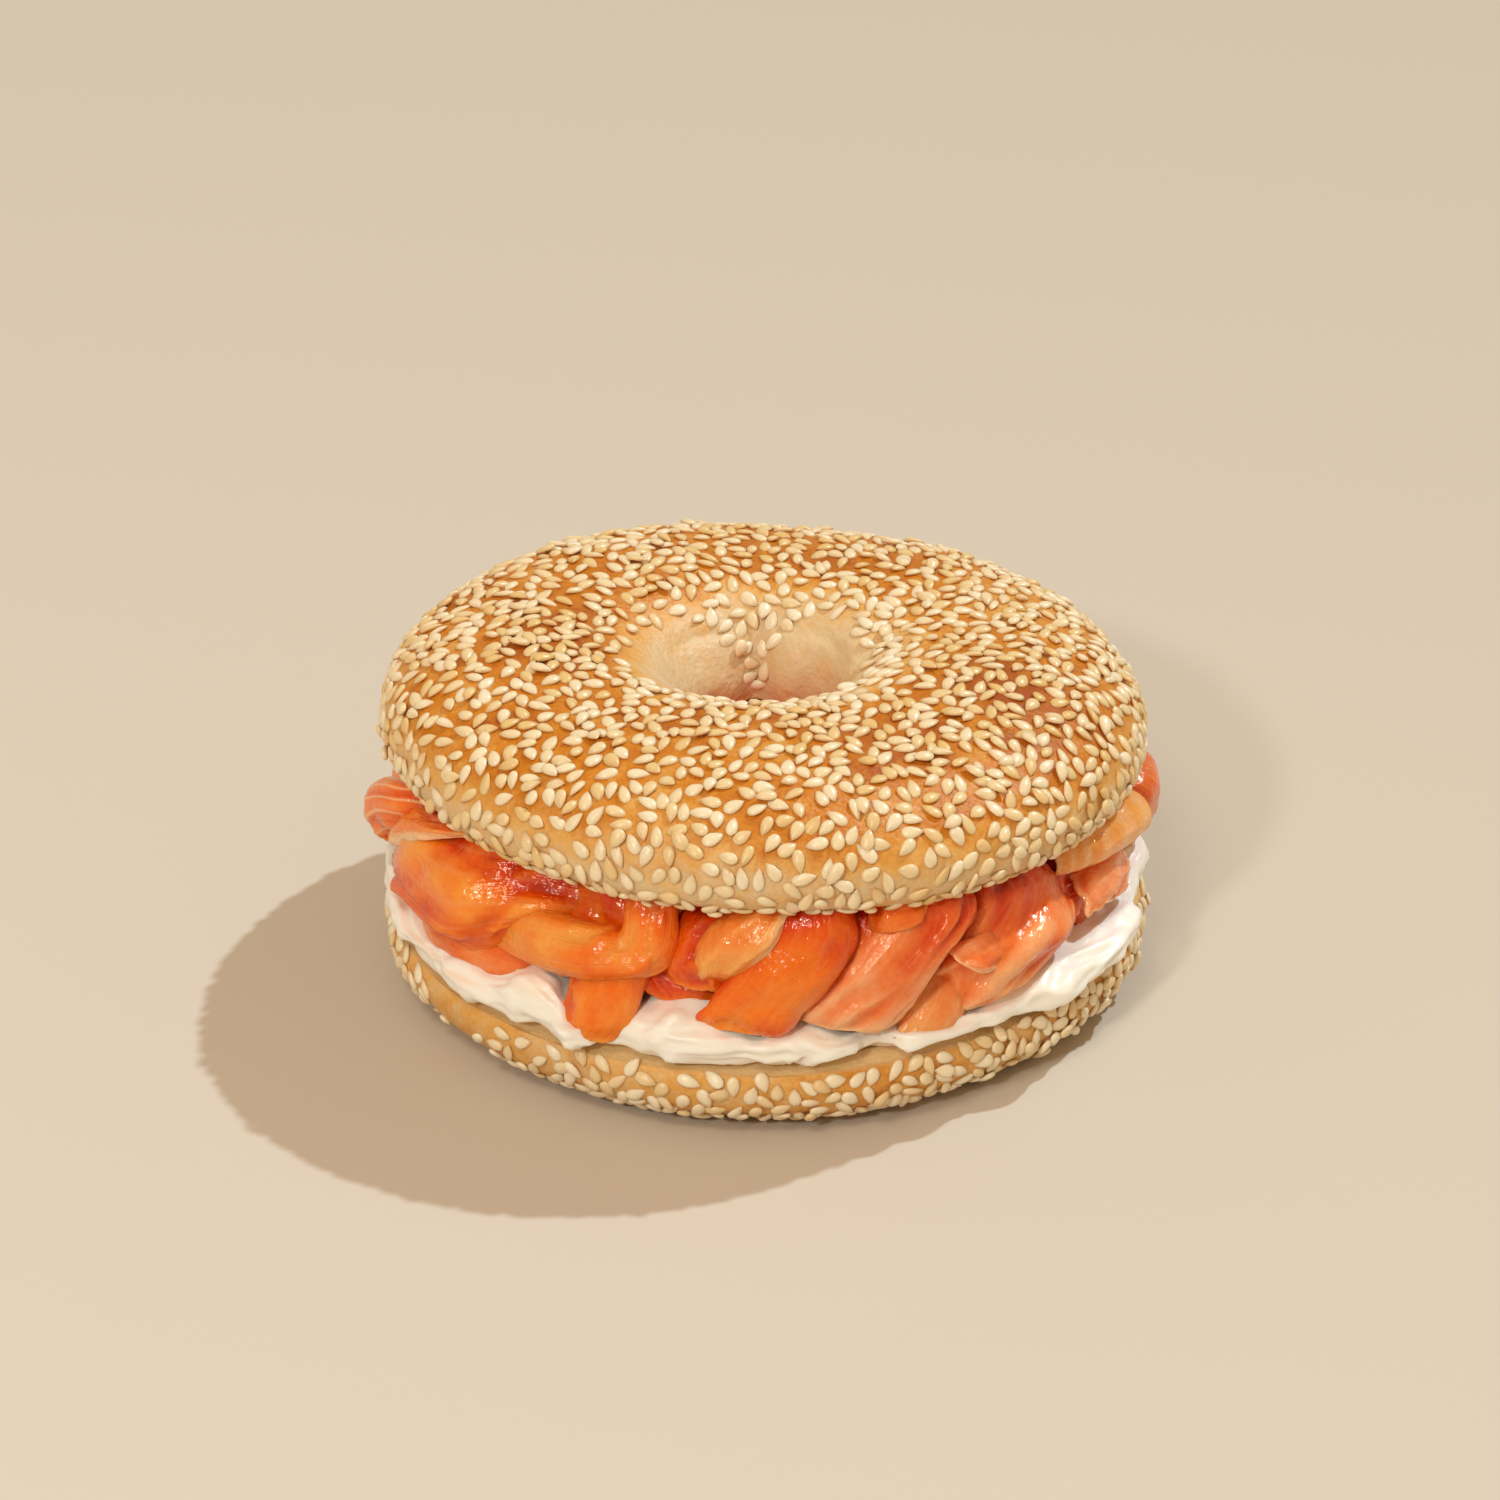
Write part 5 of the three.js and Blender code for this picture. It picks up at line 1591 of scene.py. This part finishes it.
class BAGEL_OT_cream(bpy.types.Operator):
    """Spread the cream cheese on the lower half."""

    bl_idname = "bagel.cream"
    bl_label = "Cream cheese"

    def execute(self, context):
        finish_piece(make_cream(cream_material()), "cream_cheese", "cream_cheese")
        return {"FINISHED"}


class BAGEL_OT_heap(bpy.types.Operator):
    """Make the folded salmon that fills the middle."""

    bl_idname = "bagel.heap"
    bl_label = "Salmon in the middle"

    def execute(self, context):
        heap_object(salmon_material())
        return {"FINISHED"}


class BAGEL_OT_front_slices(bpy.types.Operator):
    """Drape the salmon slices that show at the front and the sides."""

    bl_idname = "bagel.front_slices"
    bl_label = "Salmon at the front"

    def execute(self, context):
        thickness = mm(context.scene.bagel_salmon.thickness)
        for name in FRONT_SLICES:
            slice_object(name, SLICES[name], salmon_material(), thickness)
        for name, recipe in FLAPS.items():
            slice_object(name, recipe, salmon_material(), 0.8 * thickness, counts=(40, 40))
        curl_object(salmon_material())
        return {"FINISHED"}


class BAGEL_OT_back_slices(bpy.types.Operator):
    """Drape the salmon slices that show at the back."""

    bl_idname = "bagel.back_slices"
    bl_label = "Salmon at the back"

    def execute(self, context):
        thickness = mm(context.scene.bagel_salmon.thickness)
        for name in BACK_SLICES:
            slice_object(name, SLICES[name], salmon_material(), thickness)
        return {"FINISHED"}


class BAGEL_OT_stage(bpy.types.Operator):
    """Set up the floor, the lights and the camera."""

    bl_idname = "bagel.stage"
    bl_label = "Stage"

    def execute(self, context):
        make_stage()
        return {"FINISHED"}


OPERATORS = [
    BAGEL_OT_base,
    BAGEL_OT_cream,
    BAGEL_OT_heap,
    BAGEL_OT_front_slices,
    BAGEL_OT_back_slices,
    BAGEL_OT_crown,
    BAGEL_OT_seeds,
    BAGEL_OT_stage,
]


class BAGEL_PT_panel(bpy.types.Panel):
    """Lists the pieces in the order in which they are made, and their sizes and colours."""

    bl_idname = "BAGEL_PT_panel"
    bl_label = "Filled Bagel"
    bl_space_type = "VIEW_3D"
    bl_region_type = "UI"
    bl_category = "Bagel"

    def draw(self, context):
        for operator in OPERATORS:
            self.layout.operator(operator.bl_idname)
        for name, group in SETTINGS.items():
            box = self.layout.box()
            settings = getattr(context.scene, name)
            for key in group.__annotations__:
                box.prop(settings, key)


SETTINGS = {
    "bagel_bread": BagelBread,
    "bagel_seeds": BagelSeeds,
    "bagel_cream": BagelCream,
    "bagel_salmon": BagelSalmon,
    "bagel_stage": BagelStage,
}
CLASSES = [*SETTINGS.values(), *OPERATORS, BAGEL_PT_panel]


def register():
    for cls in CLASSES:
        bpy.utils.register_class(cls)
    for name, group in SETTINGS.items():
        setattr(bpy.types.Scene, name, PointerProperty(type=group))


def unregister():
    for name in SETTINGS:
        delattr(bpy.types.Scene, name)
    for cls in reversed(CLASSES):
        bpy.utils.unregister_class(cls)


def main():
    register()
    for operator in OPERATORS:
        family, action = operator.bl_idname.split(".")
        getattr(getattr(bpy.ops, family), action)()


if __name__ == "__main__":
    main()
